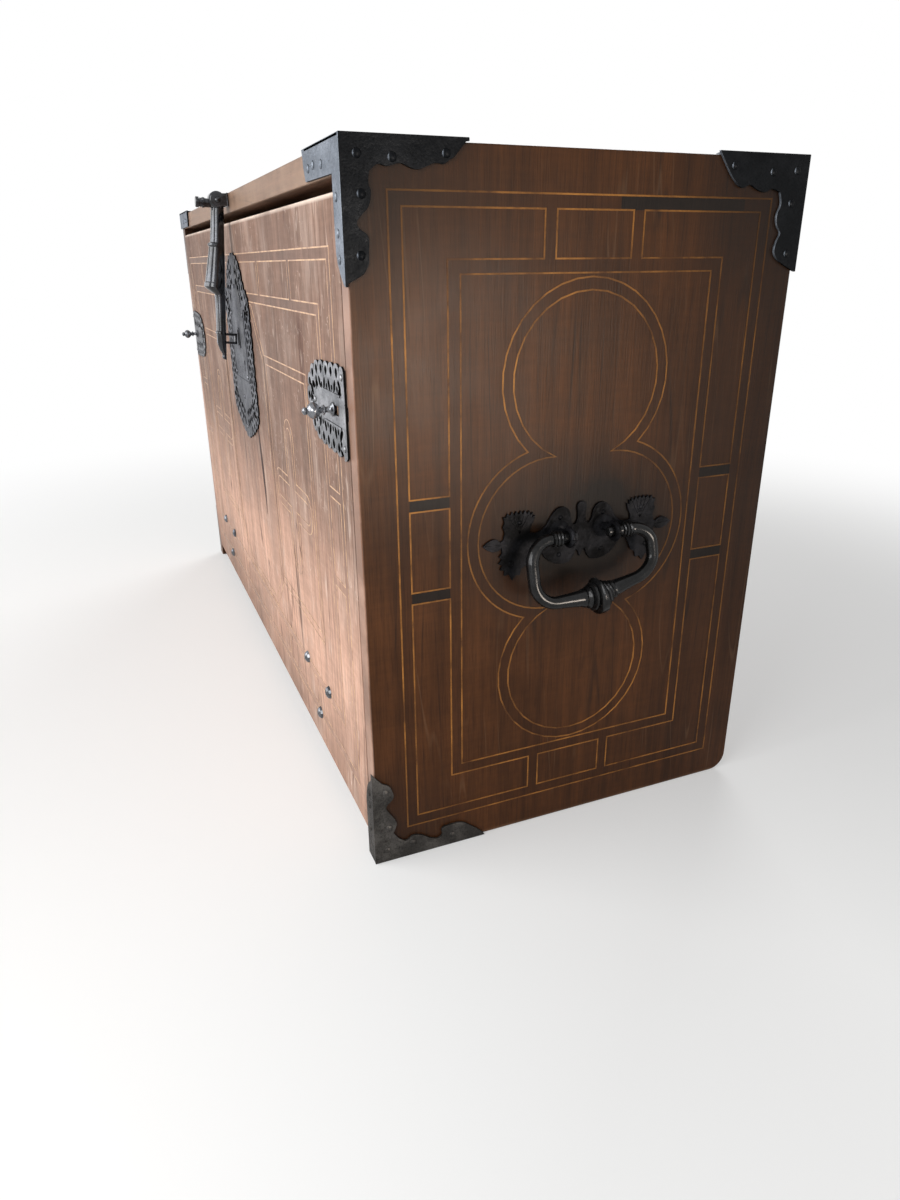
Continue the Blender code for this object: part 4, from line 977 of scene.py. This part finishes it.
def ell(along, down):
    """An iron's L outline in metres, from its outer corner, with forged inner edges."""
    point = 0.0006
    first = curved([(d * MM, w * MM) for d, w in along])
    second = [(w, d) for d, w in curved([(d * MM, w * MM) for d, w in down])]
    return [(0.0, 0.0), (first[-1][0] + point, 0.0)] + first[::-1] + second + [(0.0, second[-1][1] + point)]


def nail(name, foot, along, radius, height):
    """A hammered nail head."""
    shape = [(-0.4, 0.92), (0.0, 1.0), (0.25, 0.98), (0.55, 0.84), (0.82, 0.58), (0.96, 0.3), (1.0, 0.0)]
    profile = [(d * height if d > 0 else d * MM, r * radius) for d, r in shape]
    return turned(name, profile, foot, along, 14, 1.0)


class CABINET_OT_irons(bpy.types.Operator):
    """Forges the six corner irons with their wavy edges and nails"""

    bl_idname = "cabinet.irons"
    bl_label = "Corner irons"

    def iron(self, sizes, name, sign, front, high, along, down):
        """One iron: a plate on the side, one on the front or back and, at the top, one on the top."""
        thick = sizes.iron
        ease, overlap = 0.0005, 0.0001
        out_x = HALF_WIDTH + SEAT_GAP + thick
        out_y = -FACE_Y + SEAT_GAP + thick
        out_z = TOP_Z + SEAT_GAP + thick if high else 0.0
        fore = -1 if front else 1
        fall = -1 if high else 1

        def side_seat(u, v, w):
            return Vector((sign * (HALF_WIDTH + SEAT_GAP + w), fore * (out_y - u), out_z + fall * v))

        def face_seat(u, v, w):
            x = sign * (out_x - u - overlap)
            return Vector((x, fore * (-FACE_Y + SEAT_GAP + w), out_z + fall * (v + overlap)))

        def top_seat(u, v, w):
            x = sign * (out_x - u - overlap)
            return Vector((x, fore * (out_y - v - overlap), TOP_Z + SEAT_GAP + w))
        outline = ell(along, down)
        strip = HALF_WIDTH - INNER_X + thick
        lip = TOP_Z - TOP_LOW[2] + thick
        if front and high:
            face = [(0.0, 0.0), (0.104, 0.0), (0.1015, 0.006), (0.1005, 0.013), (0.096, lip - 0.0006)]
            face += [(strip, lip), (strip, 0.074), (strip - 0.003, 0.081), (strip - 0.009, 0.089)]
            face += [(0.004, 0.0955), (0.0, 0.0965)]
            face_nails = [(0.0855, 0.0145), (0.0705, 0.0135), (0.0475, 0.0150), (0.0125, 0.0385),
                          (0.0120, 0.0615), (0.0115, 0.0785)]
        elif high:
            face = outline
            face_nails = [(0.040, 0.012), (0.075, 0.012), (0.012, 0.040), (0.012, 0.072)]
        else:
            face = [(0.0, 0.0), (strip, 0.0), (strip, 0.061), (strip - 0.002, 0.070), (strip - 0.005, 0.078)]
            face += [(0.010, 0.085), (0.003, 0.091), (0.0, 0.093)]
            face_nails = [(0.0115, 0.034), (0.0115, 0.059), (0.0105, 0.073)]
        side = outline
        bare = front and sign < 0
        if bare:
            # At the left end the fall front shows no iron, so only the leg on the top's edge is kept.
            short = lip if high else 0.0
            flush = thick + SEAT_GAP
            side = [(u, v) for u, v in outline if u > flush]
            side += [(flush, side[-1][1]), (flush, short)]
            if high:
                side += [(0.0, short), (0.0, 0.0)]
            face = [(u, v) for u, v in face if v <= short] + [(0.0, short)]
            face_nails = [(u, v) for u, v in face_nails if v < short]
        pieces = [plate(name, side, side_seat, thick, ease)]

        def fasten(seat, spots, look, height):
            for u, v in spots:
                pieces.append(nail(name, seat(u, v, thick - NAIL_SINK), look, sizes.nail, height))
        if high or not bare:
            pieces.append(plate(name, face, face_seat, thick - overlap, ease))
        fasten(face_seat, face_nails, (0.0, fore, 0.0), 0.0015)
        if high:
            pieces.append(plate(name, outline, top_seat, thick - overlap, ease))
            top_nails = ((0.037, 0.0125), (0.076, 0.010), (0.0125, 0.038), (0.011, 0.076))
            fasten(top_seat, top_nails, (0.0, 0.0, 1.0), 0.0008)
        side_nails = ((0.0375, 0.0140), (0.0775, 0.0105), (0.0145, 0.0370), (0.0125, 0.0760),
                      (0.0125, 0.0125))
        fasten(side_seat, side_nails, (sign, 0.0, 0.0), 0.0017)
        made = joined(f"{name}_forged", pieces)
        settle(smooth(made, 40.0), "case", "wrought_iron", "corner" if high else "dull", name)

    def execute(self, context):
        sizes = context.scene.cabinet_sizes
        for label, sign in SIDES:
            self.iron(sizes, f"iron_top_front_{label}", sign, True, True, TOP_FRONT_ALONG, TOP_FRONT_DOWN)
            self.iron(sizes, f"iron_top_back_{label}", sign, False, True, TOP_BACK_ALONG, TOP_BACK_DOWN)
            self.iron(sizes, f"iron_bottom_front_{label}", sign, True, False, FOOT_ALONG, FOOT_UP)
        return {"FINISHED"}


def walk(outline, pitch):
    """Even stretches round a closed outline that turns left, as (start, end, outward)."""
    count = len(outline)
    runs = [(Vector(outline[i]), Vector(outline[(i + 1) % count])) for i in range(count)]
    total = sum((b - a).length for a, b in runs)
    steps = max(round(total / pitch), 3)
    spots = []
    for k in range(steps):
        left = total * k / steps
        for a, b in runs:
            size = (b - a).length
            if left <= size:
                spots.append(a + (b - a) * (left / size))
                break
            left -= size
    stretches = []
    for start, end in zip(spots, spots[1:] + spots[:1]):
        way = (end - start).normalized()
        stretches.append((start, end, Vector((way.y, -way.x))))
    return stretches


def scalloped(outline, pitch, depth, plain=None):
    """The outline with a row of round lobes and notches, left straight where plain says so."""
    line = []
    for start, end, out in walk(outline, pitch):
        if plain and plain((start + end) / 2):
            line.append(start)
            continue
        line.append(start - out * depth * 0.9)
        for t in (0.06, 0.2, 0.35, 0.5, 0.65, 0.8, 0.94):
            line.append(start.lerp(end, t) + out * depth * (math.sin(math.pi * t) ** 0.6 - 0.12))
    return [(p.x, p.y) for p in line]


def drop(point, out, long, wide, lean):
    """A drop-shaped hole that points along its normal, turned by its lean."""
    way = Matrix.Rotation(lean, 2) @ out
    side = Vector((-way.y, way.x))
    ring = []
    for k in range(12):
        a = 2 * math.pi * k / 12
        taper = 1.0 - 0.55 * max(math.cos(a), 0.0)
        bow = 0.12 * math.cos(a) ** 2 * (1 if lean > 0 else -1) if lean else 0.0
        spot = point + way * (math.cos(a) * long / 2) + side * (math.sin(a) * taper + bow) * (wide / 2)
        ring.append((spot.x, spot.y))
    return ring


def openwork(outline, pitch, keep, deep=False):
    """A pierced border: an eye in each lobe, a leaning drop between lobes and a dot behind it.

    A deep border has one more row of drops and dots inside.
    """
    holes = []
    for i, (start, end, out) in enumerate(walk(outline, pitch)):
        middle = (start + end) / 2
        lean = 0.55 if i % 2 else -0.55
        # Each hole, as (centre, length, width, lean).
        rows = [(middle - out * 0.0034, 0.0082, 0.0074, 0.0),
                (start - out * 0.0146, 0.0124, 0.0062, lean),
                (middle - out * 0.0160, 0.0056, 0.0050, 0.0)]
        if deep:
            rows += [(middle - out * 0.0262, 0.0112, 0.0066, -lean),
                     (start - out * 0.0272, 0.0056, 0.0050, 0.0)]
        for spot, long, wide, turn in rows:
            if keep(spot):
                holes.append(drop(spot, -out, long, wide, turn))
    return holes


def front_seat(u, v, w):
    """A place on the front's face, w out from it."""
    return Vector((u, FACE_Y - SEAT_GAP - w, v))


def shade_sheet(name, outline, hole, seat):
    """A black sheet under the openwork, painted shade and dirt, which makes its holes read dark."""
    thick = 0.0004
    under = lifted(seat, -0.0002)
    made = pierced(plate(name, outline, under, thick), [hole], under, thick)
    settle(made, "fall_front", "worn_iron", "black_shade_sheet")


def open_plate(name, outline, holes, seat, thick):
    """A plate cut through by its openwork, with its edges filed off."""
    made = pierced(plate(name, outline, seat, thick), holes, seat, thick)
    softened(made, 0.00025, 1, 50)
    return made


class CABINET_OT_lock(bpy.types.Operator):
    """Makes the pierced lock plate with its crest, mouth, keyhole and nails"""

    bl_idname = "cabinet.lock"
    bl_label = "Lock plate"

    def execute(self, context):
        thick = context.scene.cabinet_sizes.plate
        low, high = LOCK_LOW[2], LOCK_HIGH[2]
        wide = LOCK_HIGH[0] - LOBE_DEPTH
        # A shield: a pointed foot, straight flanks up to the shoulder, a step in and a round crest.
        crest, shoulder, step = 0.054, low + 0.174, 0.010
        rise = high - LOBE_DEPTH - shoulder - step
        half = [(0.0, low + LOBE_DEPTH), (wide * 0.45, low + 0.0145), (wide, low + 0.034), (wide, shoulder),
                (crest, shoulder + step)]
        for k in range(1, 9):
            angle = math.pi * k / 16
            half.append((crest * math.cos(angle), shoulder + step + rise * math.sin(angle)))
        outline = half + [(-u, v) for u, v in reversed(half[1:-1])]
        mouth = box_line((-0.0037, MOUTH_Z - 0.0089), (0.0037, MOUTH_Z + 0.0089))
        key_z = MOUTH_Z - 0.028

        def keep(spot):
            return spot.y > low + 0.016 and abs(spot.x) > 0.008
        holes = openwork(outline, LOBE_PITCH, keep, True) + [mouth]
        holes.append(arc((0.025, key_z), 0.0030, 0.0, 2 * math.pi, 14)[:-1])
        holes.append(box_line((0.0238, key_z - 0.0095), (0.0262, key_z + 0.001)))
        shade_sheet("lock_shade_sheet", outline, mouth, front_seat)
        lobed = scalloped(outline, LOBE_PITCH, LOBE_DEPTH)
        parts = [open_plate("lock_openwork", lobed, holes, front_seat, thick)]
        on_plate = lifted(front_seat, thick)
        rim = box_line((-0.0056, MOUTH_Z - 0.0108), (0.0056, MOUTH_Z + 0.0108))
        parts.append(rib("mouth_rim", rim, True, 0.0012, on_plate, 0.0014))
        field = box_line((-0.045, MOUTH_Z - 0.050), (0.045, MOUTH_Z + 0.034))
        parts.append(rib("lock_rib", field, True, 0.0008, on_plate, 0.0009))
        nails = [(s * 0.039, v) for v in (MOUTH_Z + 0.028, MOUTH_Z - 0.044) for s in (1, -1)]
        nails += [(0.0, v) for v in (low + 0.016, MOUTH_Z - 0.072, MOUTH_Z + 0.060)]
        for u, v in nails:
            parts.append(nail("lock_nail", front_seat(u, v, thick - NAIL_SINK), TO_FRONT, *PLATE_NAIL))
        made = joined("lock_openwork", parts)
        settle(smooth(made, 40.0), "fall_front", "worn_iron", "grey", "lock_plate")
        return {"FINISHED"}


class CABINET_OT_bolts(bpy.types.Operator):
    """Makes the pierced bolt plates, the sliding bars and their turned knobs"""

    bl_idname = "cabinet.bolts"
    bl_label = "Side bolts"

    def execute(self, context):
        thick = context.scene.cabinet_sizes.plate
        middle = (BOLT_LOW[2] + BOLT_HIGH[2]) / 2
        half = (BOLT_HIGH[2] - BOLT_LOW[2]) / 2
        outer, inner = BOLT_HIGH[0], BOLT_LOW[0]
        stem_x = outer - STEM_INSET
        slot = box_line((stem_x - 0.0045, -0.0040), (stem_x + 0.0150, 0.0040))
        # A tongue: straight at the front's end and round inwards.
        end_u, end_v = 0.047 - LOBE_DEPTH, 0.0355 - LOBE_DEPTH
        edge = half - LOBE_DEPTH
        turn = arc((0.0, 0.0), 1.0, math.pi / 2, 3 * math.pi / 2, 12)
        shape = [(outer, -edge), (outer, edge)]
        shape += [(inner + LOBE_DEPTH + end_u + end_u * u, end_v * v) for u, v in turn]
        lobed = scalloped(shape, LOBE_PITCH, LOBE_DEPTH, lambda spot: spot.x > outer - 0.004)
        nails = ((outer - 0.006, edge - 0.006), (outer - 0.006, 0.006 - edge), (inner + 0.030, 0.0))

        def keep(spot):
            return spot.x < outer - 0.012 and not (abs(spot.y) < 0.012 and spot.x > inner + 0.026)
        holes = openwork(shape, LOBE_PITCH, keep) + [slot]
        for label, sign in SIDES:
            def seat(u, v, w):
                return front_seat(sign * u, middle + v, w)
            shade_sheet(f"bolt_shade_sheet_{label}", shape, slot, seat)
            parts = [open_plate(f"bolt_openwork_{label}", lobed, holes, seat, thick)]
            for v in (0.0125, -0.0125):
                line = [(outer - 0.062, v), (outer - 0.012, v)]
                parts.append(rib("bolt_rib", line, False, 0.0009, lifted(seat, thick), 0.0016))
            for u, v in nails:
                parts.append(nail("bolt_nail", seat(u, v, thick - NAIL_SINK), TO_FRONT, *PLATE_NAIL))
            made = joined(f"bolt_openwork_{label}", parts)
            settle(smooth(made, 40.0), "fall_front", "worn_iron", "pale", f"bolt_plate_{label}")
            low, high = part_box(f"side_bolt_{label}")
            rod = block("bolt_bar", (low[0], FACE_Y + 0.0004, middle - 0.005),
                        (high[0], high[1], middle + 0.005), 0.0007)
            knob = turned("bolt_knob", KNOB, seat(stem_x, 0.0, thick), TO_FRONT, 32)
            made = joined(f"side_bolt_{label}_forged", [rod, knob])
            settle(smooth(made, 35.0), f"side_bolt_{label}", "worn_iron", "stud", f"side_bolt_{label}")
        return {"FINISHED"}


class CABINET_OT_hasp(bpy.types.Operator):
    """Forges the hasp: knuckle, stub, faceted bell, tongue and staple, and the eye that it hangs in"""

    bl_idname = "cabinet.hasp"
    bl_label = "Hasp"

    def hasp(self):
        """The hasp as it lies home in the lock, then swung out about its eye."""
        back = FACE_Y - 0.0042
        sides = 16
        corners = [(2 * k + 1) * math.pi / sides for k in range(sides)]
        reach = 1 / math.cos(math.pi / sides) / 2
        rings = []
        for down, wide, deep in HASP_SECTIONS:
            y, z = back - deep * MM / 2, HASP_AXIS[2] - down * MM
            rings.append([(wide * MM * reach * math.cos(a), y + deep * MM * reach * math.sin(a), z)
                          for a in corners])
        shaft = drawn("hasp_shaft", rings)
        softened(shaft, 0.0006, 2, 32)
        knuckle = turned("hasp_knuckle", HASP_KNUCKLE, HASP_AXIS, (1.0, 0.0, 0.0), 36)
        foot = Vector((0.0, HASP_AXIS[1], HASP_AXIS[2] - 0.004))
        stub = turned("hasp_stub", HASP_STUB, foot, TO_FRONT, 24)
        # The staple's three squared legs, which go into the lock's mouth.
        near, far, half = back - 0.005, FACE_Y + 0.0075, 0.0049
        loop = [(near, MOUTH_Z + half), (far, MOUTH_Z + half), (far, MOUTH_Z - half), (near, MOUTH_Z - half)]
        half_wide, half_thick = 0.0024, 0.0014
        legs = []
        for a, b in zip(loop, loop[1:]):
            low = (-half_wide, min(a[0], b[0]) - half_thick, min(a[1], b[1]) - half_thick)
            high = (half_wide, max(a[0], b[0]) + half_thick, max(a[1], b[1]) + half_thick)
            legs.append(block("staple", low, high, 0.0003))
        made = joined("hasp_forged", [shaft, knuckle, stub] + legs)
        swing = Matrix.Rotation(-HASP_LIFT, 4, "X")
        made.data.transform(Matrix.Translation(HASP_AXIS) @ swing @ Matrix.Translation(-HASP_AXIS))
        settle(smooth(made, 28.0), "hasp", "worn_iron", "dark", "hasp")

    def eye(self):
        """The eye on the top's front edge: a plate and a lug with a web on each side of the knuckle."""
        low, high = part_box("hasp_eye")
        tall, web_tall = 0.00725, 0.0066
        parts = [block("hasp_eye", (low[0], FACE_Y - 0.0022, HASP_AXIS[2] - tall),
                       (high[0], FACE_Y - SEAT_GAP, HASP_AXIS[2] + tall), 0.0004)]
        for sign in (1, -1):
            foot = Vector((sign * 0.0084, HASP_AXIS[1], HASP_AXIS[2]))
            parts.append(turned("hasp_lug", HASP_LUG, foot, (sign, 0.0, 0.0), 28))
            near, far = sorted((sign * 0.0085, sign * 0.0123))
            parts.append(block("hasp_web", (near, HASP_AXIS[1], HASP_AXIS[2] - web_tall),
                               (far, FACE_Y - 0.001, HASP_AXIS[2] + web_tall), 0.0004))
        made = joined("hasp_eye_forged", parts)
        settle(smooth(made, 35.0), "case", "worn_iron", "dark", "hasp_eye")

    def execute(self, context):
        self.hasp()
        self.eye()
        return {"FINISHED"}


def bail_line():
    """The bail from its middle to one arm in millimetres, as (along, drop, radius)."""
    side, down, bend, thick = 60.0, 54.0, 19.5, 5.5
    line = [(u, down, r) for u, r in BAIL_KNOP]
    line += [(u, v, thick) for u, v in arc((side - bend, down - bend), bend, math.pi / 2, 0.0, 12)]
    line += [(u, v, thick) for u, v in arc((side - bend, bend), bend, 0.0, -math.pi / 2, 12)]
    return line + [(u, 0.0, r) for u, r in BAIL_COLLARS]


class CABINET_OT_handles(bpy.types.Operator):
    """Makes the end handles: leafy backplates, eyes and turned bails"""

    bl_idname = "cabinet.handles"
    bl_label = "Handles"

    def backplate(self, label, sign):
        """A cut leaf with two bosses, eight nails and raised veins."""
        thick = 0.0020
        outward = (sign, 0.0, 0.0)
        outline = [(u * MM, v * MM) for u, v in BACKPLATE]
        outline += [(-u, v) for u, v in reversed(outline[1:-1])]
        # The veins of one half: a fan of five, and one along the outer lobe.
        veins = [((0.0610, 0.0035), (0.0525 + 0.0046 * k, 0.0185)) for k in range(5)]
        veins.append(((0.0780, -0.0058), (0.0930, -0.0047)))

        def seat(u, v, w):
            return Vector((sign * (HALF_WIDTH + SEAT_GAP + w), u, HANDLE_AXIS[2] + v))
        leaf = [plate(f"backplate_{label}", outline, seat, thick, 0.0004)]
        for y in (-EYE_Y, EYE_Y):
            leaf.append(turned("boss", BOSS, seat(y, 0.0, thick - 0.0004), outward, 24))
        for u, v in ((0.0615, 0.0125), (0.0690, -0.0230), (0.0215, 0.0125), (0.0215, -0.0215)):
            for s in (1, -1):
                spot = seat(s * u, v, thick - NAIL_SINK)
                leaf.append(nail("backplate_nail", spot, outward, 0.0024, 0.0014))
        for s in (1, -1):
            for vein in veins:
                line = [(s * u, v) for u, v in vein]
                leaf.append(rib("vein", line, False, 0.0005, lifted(seat, thick), 0.0010))
        made = joined(f"backplate_{label}", leaf)
        settle(smooth(made, 40.0), "case", "wrought_iron", "black", f"handle_plate_{label}")

    def bail(self, label, sign):
        """A bail that hangs tilted off the plate, with its rear half bent up."""
        tilt = math.radians(16.0)
        out, down = sign * math.sin(tilt), math.cos(tilt)
        span = 0.060
        half = [(u * MM, d * MM, r * MM) for u, d, r in bail_line()]
        rear = [(u, d * (1.0 - REAR_RISE * u / span), r) for u, d, r in half]
        path = [(-u, d, r) for u, d, r in reversed(half[1:])] + rear
        points = [(sign * HANDLE_AXIS[0] + d * out, u, HANDLE_AXIS[2] - d * down) for u, d, _ in path]
        made = bar(f"bail_{label}_forged", points, [r for _, _, r in path], 6)
        settle(made, f"bail_{label}", "wrought_iron", "bail", f"bail_{label}")

    def eyes(self, label, sign):
        """The two rings that hold the bail, each on a shank."""
        axis_x, axis_z = sign * HANDLE_AXIS[0], HANDLE_AXIS[2]
        foot_x, neck_x = sign * (HALF_WIDTH + 0.0006), axis_x - sign * 0.0062
        for end, y in (("front", -EYE_Y), ("back", EYE_Y)):
            ring = [(x, y, z) for x, z in arc((axis_x, axis_z), 0.0071, 0.0, 2 * math.pi, 28)]
            loop = bar("eye", ring, [0.0024] * len(ring), 3)
            shank = bar("eye_shank", [(foot_x, y, axis_z), (neck_x, y, axis_z)], [0.0042, 0.0034], 3)
            made = joined(f"eye_{label}_{end}", [loop, shank])
            settle(made, "case", "wrought_iron", "black", f"handle_eye_{label}_{end}")

    def execute(self, context):
        for label, sign in SIDES:
            self.backplate(label, sign)
            self.bail(label, sign)
            self.eyes(label, sign)
        return {"FINISHED"}


class CABINET_OT_nest(bpy.types.Operator):
    """Dresses the nest: eased boards, drawers with an inlaid field, and turned pulls"""

    bl_idname = "cabinet.nest"
    bl_label = "Nest of drawers"

    def execute(self, context):
        sizes = context.scene.cabinet_sizes
        for node in sorted(frame["nodes"]):
            if node.startswith("nest_"):
                settle(eased(node, f"{node}_board", 0.0008, 0.02), "case", "drawer_walnut", "nest", node)
        for node in DRAWERS:
            name = node.removeprefix("drawer_")
            settle(eased(node, f"{node}_box", 0.0007, 0.03), node, "drawer_walnut", "inside", node)
            low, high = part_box(node)
            middle = Vector(((low[0] + high[0]) / 2, low[1], (low[2] + high[2]) / 2))
            half_u, half_v = (high[0] - low[0]) / 2, (high[2] - low[2]) / 2

            def seat(u, v, w):
                return Vector((middle[0] + u, middle[1] - w, middle[2] + v))
            closed = []
            for inset in (0.012, 0.020):
                closed.append(box_line((inset - half_u, inset - half_v), (half_u - inset, half_v - inset)))
            lobe = min(half_u, half_v) * 0.34
            for grow in (1.0, 0.82):
                closed.append(quatrefoil(lobe * grow, lobe * 0.9, lobe * 0.9, 14))
            bands = [edges_of(line, True, sizes.line_width / 2) for line in closed]
            made = inlaid(f"{node}_lines", bands, seat, sizes.line_thick)
            settle(made, node, "drawer_walnut", "drawer_line")
            pull = turned(f"pull_{name}", PULL, middle, TO_FRONT, 24)
            settle(pull, node, "wrought_iron", "black", f"drawer_pull_{name}")
        return {"FINISHED"}


class CABINET_OT_fittings(bpy.types.Operator):
    """Gives the solids that stay, the hinges and the lock's works, their iron"""

    bl_idname = "cabinet.fittings"
    bl_label = "Hinges and lock works"

    def execute(self, context):
        for name, node in frame["nodes"].items():
            if name.startswith("hinge_") or name in ("lock_case", "lock_bolt"):
                node.data.materials.clear()
                node.data.materials.append(finishes()["stud" if name.startswith("hinge_front") else "black"])
        return {"FINISHED"}


def lamp(name, place, aim, size, power, colour="#ffffff", diffuse=True):
    """A soft square lamp that looks at a point."""
    light = bpy.data.lights.new(name, "AREA")
    light.shape = "RECTANGLE"
    light.size, light.size_y = size
    light.energy = power
    light.color = linear(colour)[:3]
    obj = bpy.data.objects.new(name, light)
    bpy.context.scene.collection.objects.link(obj)
    obj.location = place
    obj.rotation_euler = (Vector(aim) - Vector(place)).to_track_quat("-Z", "Y").to_euler()
    obj.visible_diffuse = diffuse


class CABINET_OT_stage(bpy.types.Operator):
    """Sets the camera, the floor, the world and the lamps"""

    bl_idname = "cabinet.stage"
    bl_label = "Stage"

    def execute(self, context):
        scene = context.scene
        scene.view_settings.view_transform = "Standard"
        camera = bpy.data.cameras.new("camera")
        camera.lens, camera.sensor_width, camera.sensor_fit = CAMERA_LENS, CAMERA_SENSOR, "AUTO"
        camera.clip_start, camera.clip_end = 0.02, 60.0
        eye = bpy.data.objects.new("camera", camera)
        scene.collection.objects.link(eye)
        axes = [Vector(CAMERA_RIGHT), Vector(CAMERA_UP), -Vector(CAMERA_FORWARD)]
        eye.matrix_world = Matrix.Translation(CAMERA_PLACE) @ Matrix(axes).transposed().to_4x4()
        scene.camera = eye
        free()
        bpy.ops.mesh.primitive_plane_add(size=24.0, location=(0.0, 0.0, -0.0006))
        floor = context.object
        floor.name = "floor"
        material, tree, shader = blank("pale_floor")
        shader.inputs["Base Color"].default_value = linear(scene.cabinet_colours.floor)
        shader.inputs["Roughness"].default_value = 0.9
        shader.inputs["Specular IOR Level"].default_value = 0.1
        place = place_of(tree)
        away = add(tree, "ShaderNodeVectorMath", {0: place}, operation="LENGTH").outputs["Value"]
        far = ramp(tree, away, 0.75, 1.7, 0.35, 1.0, interpolation_type="SMOOTHSTEP")
        fade = calc(tree, "MULTIPLY", far, on_show(tree))
        glow = add(tree, "ShaderNodeEmission", {"Color": linear("#ffffff"), "Strength": 1.0})
        both = add(tree, "ShaderNodeMixShader", {0: fade, 1: shader.outputs[0], 2: glow.outputs[0]})
        feed(tree, tree.nodes["Material Output"], {"Surface": both.outputs[0]})
        floor.data.materials.append(material)
        world = bpy.data.worlds.new("studio")
        scene.world = world
        world.use_nodes = True
        tree = world.node_tree
        tree.nodes.clear()
        soft = add(tree, "ShaderNodeBackground", {"Color": linear("#ffffff"), "Strength": 0.22})
        white = add(tree, "ShaderNodeBackground", {"Color": linear("#ffffff"), "Strength": 1.0})
        mixed = add(tree, "ShaderNodeMixShader", {0: on_show(tree), 1: soft.outputs[0], 2: white.outputs[0]})
        add(tree, "ShaderNodeOutputWorld", {"Surface": mixed.outputs[0]})
        lamp("window", (-0.2, -2.6, 1.3), (0.0, FACE_Y, 0.30), (2.4, 1.9), 74.0)
        lamp("fill", (0.95, -0.80, 0.62), (0.49, -0.20, 0.33), (0.45, 0.45), 4.6)
        lamp("sheen", (1.9, 0.38, 0.27), (0.49, -0.10, 0.42), (0.50, 0.42), 16.0, "#fff0e0", False)
        lamp("back", (-2.2, 1.9, 1.9), (0.0, 0.1, 0.3), (1.8, 1.8), 48.0)
        lamp("strip", (-1.75, -1.75, 0.42), (0.0, FACE_Y, 0.35), (0.6, 0.9), 8.0, "#eef2ff", False)
        return {"FINISHED"}


OPERATORS = (
    CABINET_OT_boards, CABINET_OT_inlay, CABINET_OT_irons, CABINET_OT_lock, CABINET_OT_bolts,
    CABINET_OT_hasp, CABINET_OT_handles, CABINET_OT_nest, CABINET_OT_fittings, CABINET_OT_stage)


class CABINET_PT_panel(bpy.types.Panel):
    """Lists the cabinet's sizes, colours and steps"""

    bl_idname = "CABINET_PT_panel"
    bl_label = "Cabinet"
    bl_space_type = "VIEW_3D"
    bl_region_type = "UI"
    bl_category = "Cabinet"

    def draw(self, context):
        for group in (context.scene.cabinet_sizes, context.scene.cabinet_colours):
            for key in group.__annotations__:
                self.layout.prop(group, key)
        for operator in OPERATORS:
            self.layout.operator(operator.bl_idname)


CLASSES = (CabinetSizes, CabinetColours, *OPERATORS, CABINET_PT_panel)


def register():
    for entry in CLASSES:
        bpy.utils.register_class(entry)
    bpy.types.Scene.cabinet_sizes = bpy.props.PointerProperty(type=CabinetSizes)
    bpy.types.Scene.cabinet_colours = bpy.props.PointerProperty(type=CabinetColours)


def unregister():
    del bpy.types.Scene.cabinet_colours
    del bpy.types.Scene.cabinet_sizes
    for entry in reversed(CLASSES):
        bpy.utils.unregister_class(entry)


def main():
    register()
    for operator in OPERATORS:
        group, name = operator.bl_idname.split(".")
        getattr(getattr(bpy.ops, group), name)()


if __name__ == "__main__":
    main()
